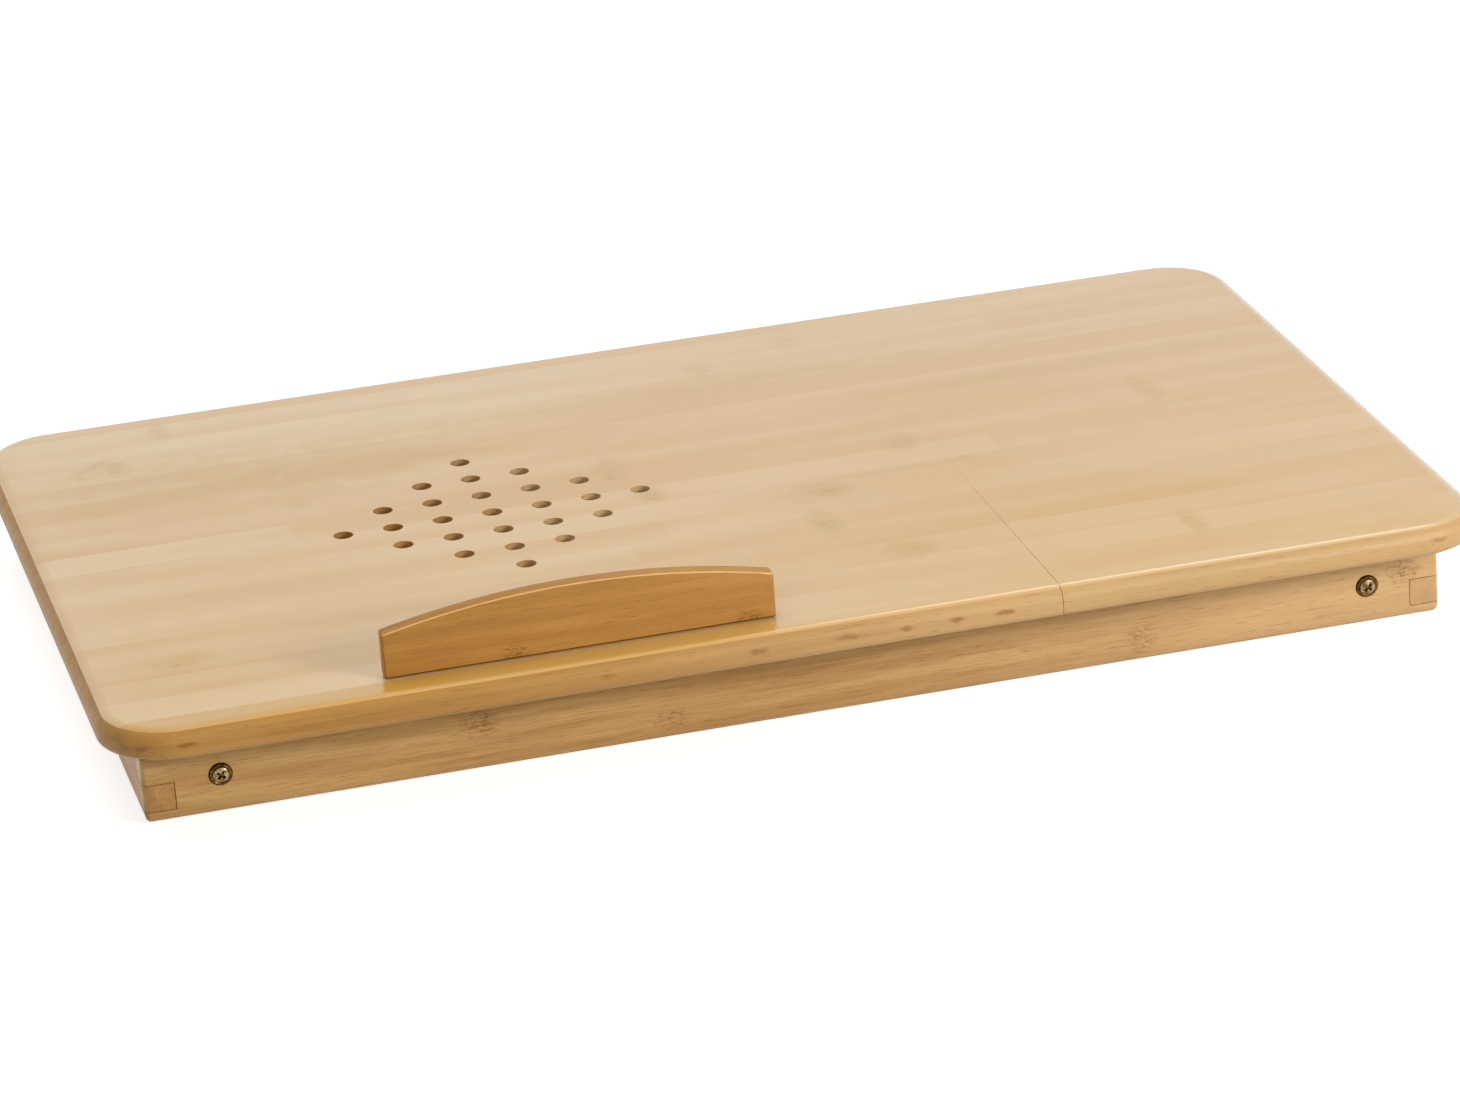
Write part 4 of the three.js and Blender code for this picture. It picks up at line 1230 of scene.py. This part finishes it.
def ease_arrises(piece, width):
    """Joins the solid's loose triangles and rounds its sharp edges a little."""
    weld = piece.modifiers.new("join triangles", "WELD")
    weld.merge_threshold = WELD_DISTANCE
    easing = piece.modifiers.new("eased arrises", "BEVEL")
    easing.width = width
    easing.segments = ARRIS_STEPS
    easing.limit_method = "ANGLE"
    easing.angle_limit = math.radians(ARRIS_ANGLE)
    easing.use_clamp_overlap = True


for name, node in frame["nodes"].items():
    finish = finish_for(name)
    node.data.materials.clear()
    node.data.materials.append(finish)
    if finish not in (zinc_steel, dark_bronze):
        ease_arrises(node, RAIL_ARRIS if name.endswith("_rail") else ARRIS)
print("solids with eased arrises:", sum(bool(node.modifiers) for node in frame["nodes"].values()))

# %% [markdown]
# ## Painted highlights and painted shade on the book stop
# The top arrises of the book stop are painted paler than its faces, painted highlights, and the
# groove at its foot is painted dark, painted shade. Both are picked by the way a face points.

# %% Give the book stop its finishes
# faces rising this much get the painted highlight, the downward ones at the foot the painted shade
HIGHLIGHT_RISE = (0.35, 0.85)
GROOVE_RISE = (-0.95, -0.20)
FACES_FRONT_OR_BACK = 0.3


def finish_stop(stop):
    """Sorts the stop's faces: plain, top arrises with painted highlight, groove with painted
    shade.
    """
    stop.data.materials.clear()
    for finish in stop_finishes:
        stop.data.materials.append(finish)
    counts = [0] * len(stop_finishes)
    for face in stop.data.polygons:
        rise, sideways = face.normal.z, abs(face.normal.y)
        at_foot = face.center.z < stop_low.z + STOP_ARRIS
        if HIGHLIGHT_RISE[0] < rise < HIGHLIGHT_RISE[1] and sideways > FACES_FRONT_OR_BACK:
            face.material_index = 1
        elif GROOVE_RISE[0] < rise < GROOVE_RISE[1] and at_foot:
            face.material_index = 2
        else:
            face.material_index = 0
        counts[face.material_index] += 1
    return counts


# the stop's faces: plain, with painted highlight on the arrises, with painted shade in the groove
print("the stop's plain, painted highlight and painted shade faces:", finish_stop(book_stop))

# %% [markdown]
# ## Five finishes on a board
# The top is rubbed to a gloss, and so is its arris, the first part of the roundover, as far as a
# flat rubbing block reaches; the arris is also painted paler towards the right, a painted
# highlight.
# The rest of the edges, the underside and the walls of the vent holes are matt. Each face is told
# which it is by the way it points and how near it lies to a hole.

# %% Give the boards their finishes
FLAT, RUBBED, UPRIGHT = 0.999, 0.87, 0.95
UNDERNEATH = -0.995
VENT_WALL_REACH = VENT_RADIUS + VENT_EASE + 0.2 * MM
vent_middles = [(place.x, place.y) for place in vent_places()]


def finish_number(face):
    """0 for the top, 1 for edges, 2 for the underside, 3 for a vent's wall, 4 for the arris."""
    x, y, _ = face.center
    rise = face.normal.z
    if abs(rise) < UPRIGHT and any(
        math.hypot(x - hole_x, y - hole_y) < VENT_WALL_REACH for hole_x, hole_y in vent_middles
    ):
        return 3
    if rise > FLAT:
        return 0
    if rise > RUBBED:
        return 4
    return 2 if rise < UNDERNEATH else 1


def finish_board(board):
    """Gives each face of the board its finish, and counts the faces with each."""
    board.data.materials.clear()
    for finish in board_finishes:
        board.data.materials.append(finish)
    counts = [0] * len(board_finishes)
    for face in board.data.polygons:
        face.material_index = finish_number(face)
        counts[face.material_index] += 1
    return counts


for board in (tilting_board, fixed_board):
    print(board.name, "faces: top, edges, underside, vent walls, arris:", finish_board(board))

# %% [markdown]
# ## The surroundings
# The picture was taken on white. To the camera and in mirror-like reflections the surroundings
# are white, but they light the table only a little, so that its shade stays deep. A plain white
# world would be simpler, and would wash out every shadow.

# %% Set the surroundings
AMBIENT = 0.13
WHITE = (1, 1, 1, 1)


def seen_directly(nodes, links):
    """1 for rays from the camera, mirrors and glass, 0 for the soft light between surfaces."""
    path = nodes.new("ShaderNodeLightPath")
    largest = path.outputs["Is Camera Ray"]
    for name in ("Is Glossy Ray", "Is Transmission Ray"):
        node = nodes.new("ShaderNodeMath")
        node.operation = "MAXIMUM"
        links.new(largest, node.inputs[0])
        links.new(path.outputs[name], node.inputs[1])
        largest = node.outputs["Value"]
    return largest


def set_surroundings():
    """Soft light from all round, which looks white wherever it is seen directly."""
    world = bpy.data.worlds.new("white surroundings")
    bpy.context.scene.world = world
    world.use_nodes = True
    nodes, links = world.node_tree.nodes, world.node_tree.links
    nodes.clear()
    either = nodes.new("ShaderNodeMixShader")
    links.new(seen_directly(nodes, links), either.inputs[0])
    for socket, strength in ((1, AMBIENT), (2, 1.0)):
        glow = nodes.new("ShaderNodeBackground")
        glow.inputs["Color"].default_value = WHITE
        glow.inputs["Strength"].default_value = strength
        links.new(glow.outputs[0], either.inputs[socket])
    out = nodes.new("ShaderNodeOutputWorld")
    links.new(either.outputs[0], out.inputs["Surface"])


set_surroundings()
print("the soft light all round is", AMBIENT)

# %% [markdown]
# ## The floor
# The floor is a pale sheet that catches the table's shadow. It glows a little where it is seen
# directly, so that it reads as white without more light on the table, and it glows more with
# distance, where less of the lamps' light reaches it. A shadow catcher would be another way, but
# it is meant for laying a render over a photograph, and here the white itself is wanted.

# %% Lay the floor
FLOOR_SIZE = 24.0
FLOOR_DROP = 0.2 * MM
FLOOR_GREY = (0.7, 0.7, 0.7, 1)
FLOOR_GLOW = (0.6, 3.0, 0.66, 1.0)  # from and to this distance in metres, and the glow there


def lay_floor():
    """A wide pale sheet just under the table."""
    clear_selection()
    bpy.ops.mesh.primitive_plane_add(size=FLOOR_SIZE, location=(0, 0, -FLOOR_DROP))
    floor = bpy.context.object
    floor.name = "floor"
    bpy.ops.object.transform_apply(location=True)
    paper = bpy.data.materials.new("floor paper")
    paper.use_nodes = True
    nodes, links = paper.node_tree.nodes, paper.node_tree.links
    nodes.clear()
    matt = nodes.new("ShaderNodeBsdfDiffuse")
    matt.inputs["Color"].default_value = FLOOR_GREY
    glow = nodes.new("ShaderNodeEmission")
    place = nodes.new("ShaderNodeTexCoord")
    distance = nodes.new("ShaderNodeVectorMath")
    distance.operation = "LENGTH"
    links.new(place.outputs["Object"], distance.inputs[0])
    fade = nodes.new("ShaderNodeMapRange")
    for name, number in zip(("From Min", "From Max", "To Min", "To Max"), FLOOR_GLOW):
        fade.inputs[name].default_value = number
    links.new(distance.outputs["Value"], fade.inputs["Value"])
    level = nodes.new("ShaderNodeMath")
    level.operation = "MULTIPLY"
    links.new(seen_directly(nodes, links), level.inputs[0])
    links.new(fade.outputs["Result"], level.inputs[1])
    links.new(level.outputs["Value"], glow.inputs["Strength"])
    both = nodes.new("ShaderNodeAddShader")
    links.new(matt.outputs[0], both.inputs[0])
    links.new(glow.outputs[0], both.inputs[1])
    out = nodes.new("ShaderNodeOutputMaterial")
    links.new(both.outputs[0], out.inputs["Surface"])
    floor.data.materials.append(paper)
    return floor


floor = lay_floor()
print("the floor is", floor.dimensions.x, "m wide")

# %% [markdown]
# ## A floor that sinks as the legs unfold
# The folded table stands on its frame. Once its legs are unfolded it stands on their feet, about
# 20 cm lower, and a fixed floor would hide them. So the floor follows: a Transformation
# constraint turns the swing of each pair of legs into a drop of the floor, and a limit stops it at
# the level of the feet when both pairs are open.

# %% Tie the floor to the legs
def leg_fold(side):
    """The hinge that a pair of legs turns on, as the packed model describes it."""
    return next(joint for joint in frame["joints"] if joint["name"] == side + "_leg_fold")


def open_foot_level():
    """Height of the feet once the legs are fully open, measured on the left pair."""
    fold = leg_fold("left")
    pivot = Vector(fold["pos_m"])
    swing = Matrix.Rotation(math.radians(fold["range_deg"][1]), 4, Vector(fold["axis"]))
    legs = [node for name, node in frame["nodes"].items() if name.startswith("left_leg")]
    return min((pivot + swing @ (v.co - pivot)).z for leg in legs for v in leg.data.vertices)


def sink_with_legs(side, level):
    """Lowers the floor to the level as this pair of legs swings open about the Y axis."""
    fold = leg_fold(side)
    full = math.radians(fold["range_deg"][1])
    link = floor.constraints.new("TRANSFORM")
    link.name = "sink with the " + side + " legs"
    link.target = frame["bodies"][side + "_legs"]
    link.map_from = "ROTATION"
    link.from_rotation_mode = "SWING_TWIST_Y"
    link.map_to_z_from = "Y"
    if fold["axis"][1] > 0:
        link.from_min_y_rot, link.from_max_y_rot = 0.0, full
        link.to_min_z, link.to_max_z = 0.0, level
    else:
        link.from_min_y_rot, link.from_max_y_rot = -full, 0.0
        link.to_min_z, link.to_max_z = level, 0.0


foot_level = open_foot_level()
for side in ("left", "right"):
    sink_with_legs(side, foot_level)
lowest = floor.constraints.new("LIMIT_LOCATION")
lowest.use_min_z = True
lowest.min_z = foot_level
print("with open legs the floor lies at", round(foot_level / MM, 1), "mm")

# %% [markdown]
# ## Lamps
# A wide soft box hangs above the table and gives most of the light. A small one at the right, in
# front, brightens that end of the frame, and its fainter twin at the left leaves the shade of the
# overhang on the rail. The one at the right, behind, draws the thin bright line along the rounded
# front edge, and the one at the left, behind, keeps the back of the table from going dark. Only
# the two at the right show in glossy surfaces.

# %% Hang the soft boxes
SOFT_BOXES = (  # name, place, what it points at, width and height, watts, seen in gloss
    ("overhead_box", (-0.35, 0.2, 1.9), (0, 0, 0), (1.8, 1.4), 18.8, False),
    ("right_back_box", (0.80, 0.80, 1.75), (0.1, -0.1, 0), (0.8, 0.5), 4, True),
    ("right_front_box", (0.95, -1.25, 0.62), (0.1, -0.15, 0.02), (0.5, 0.35), 18.8, True),
    ("left_back_box", (-1.0, 1.3, 0.6), (0, 0, 0.02), (0.6, 0.4), 5, False),
    ("left_front_box", (-0.9, -1.25, 0.82), (-0.1, -0.15, 0.02), (0.5, 0.35), 4.2, False),
)


def hang_soft_box(name, place, aim, size, watts, mirrored):
    """A rectangular lamp turned towards the aim. mirrored says if glossy surfaces show it."""
    lamp = bpy.data.lights.new(name, "AREA")
    lamp.shape = "RECTANGLE"
    lamp.size, lamp.size_y = size
    lamp.energy = watts
    box = bpy.data.objects.new(name, lamp)
    box.visible_glossy = mirrored
    box.location = place
    box.rotation_euler = (Vector(aim) - Vector(place)).to_track_quat("-Z", "Y").to_euler()
    bpy.context.scene.collection.objects.link(box)


for soft_box in SOFT_BOXES:
    hang_soft_box(*soft_box)

# %% [markdown]
# ## Last step
# The view layer is updated, so that every piece stands where it was placed.

# %% Finish
bpy.context.view_layer.update()
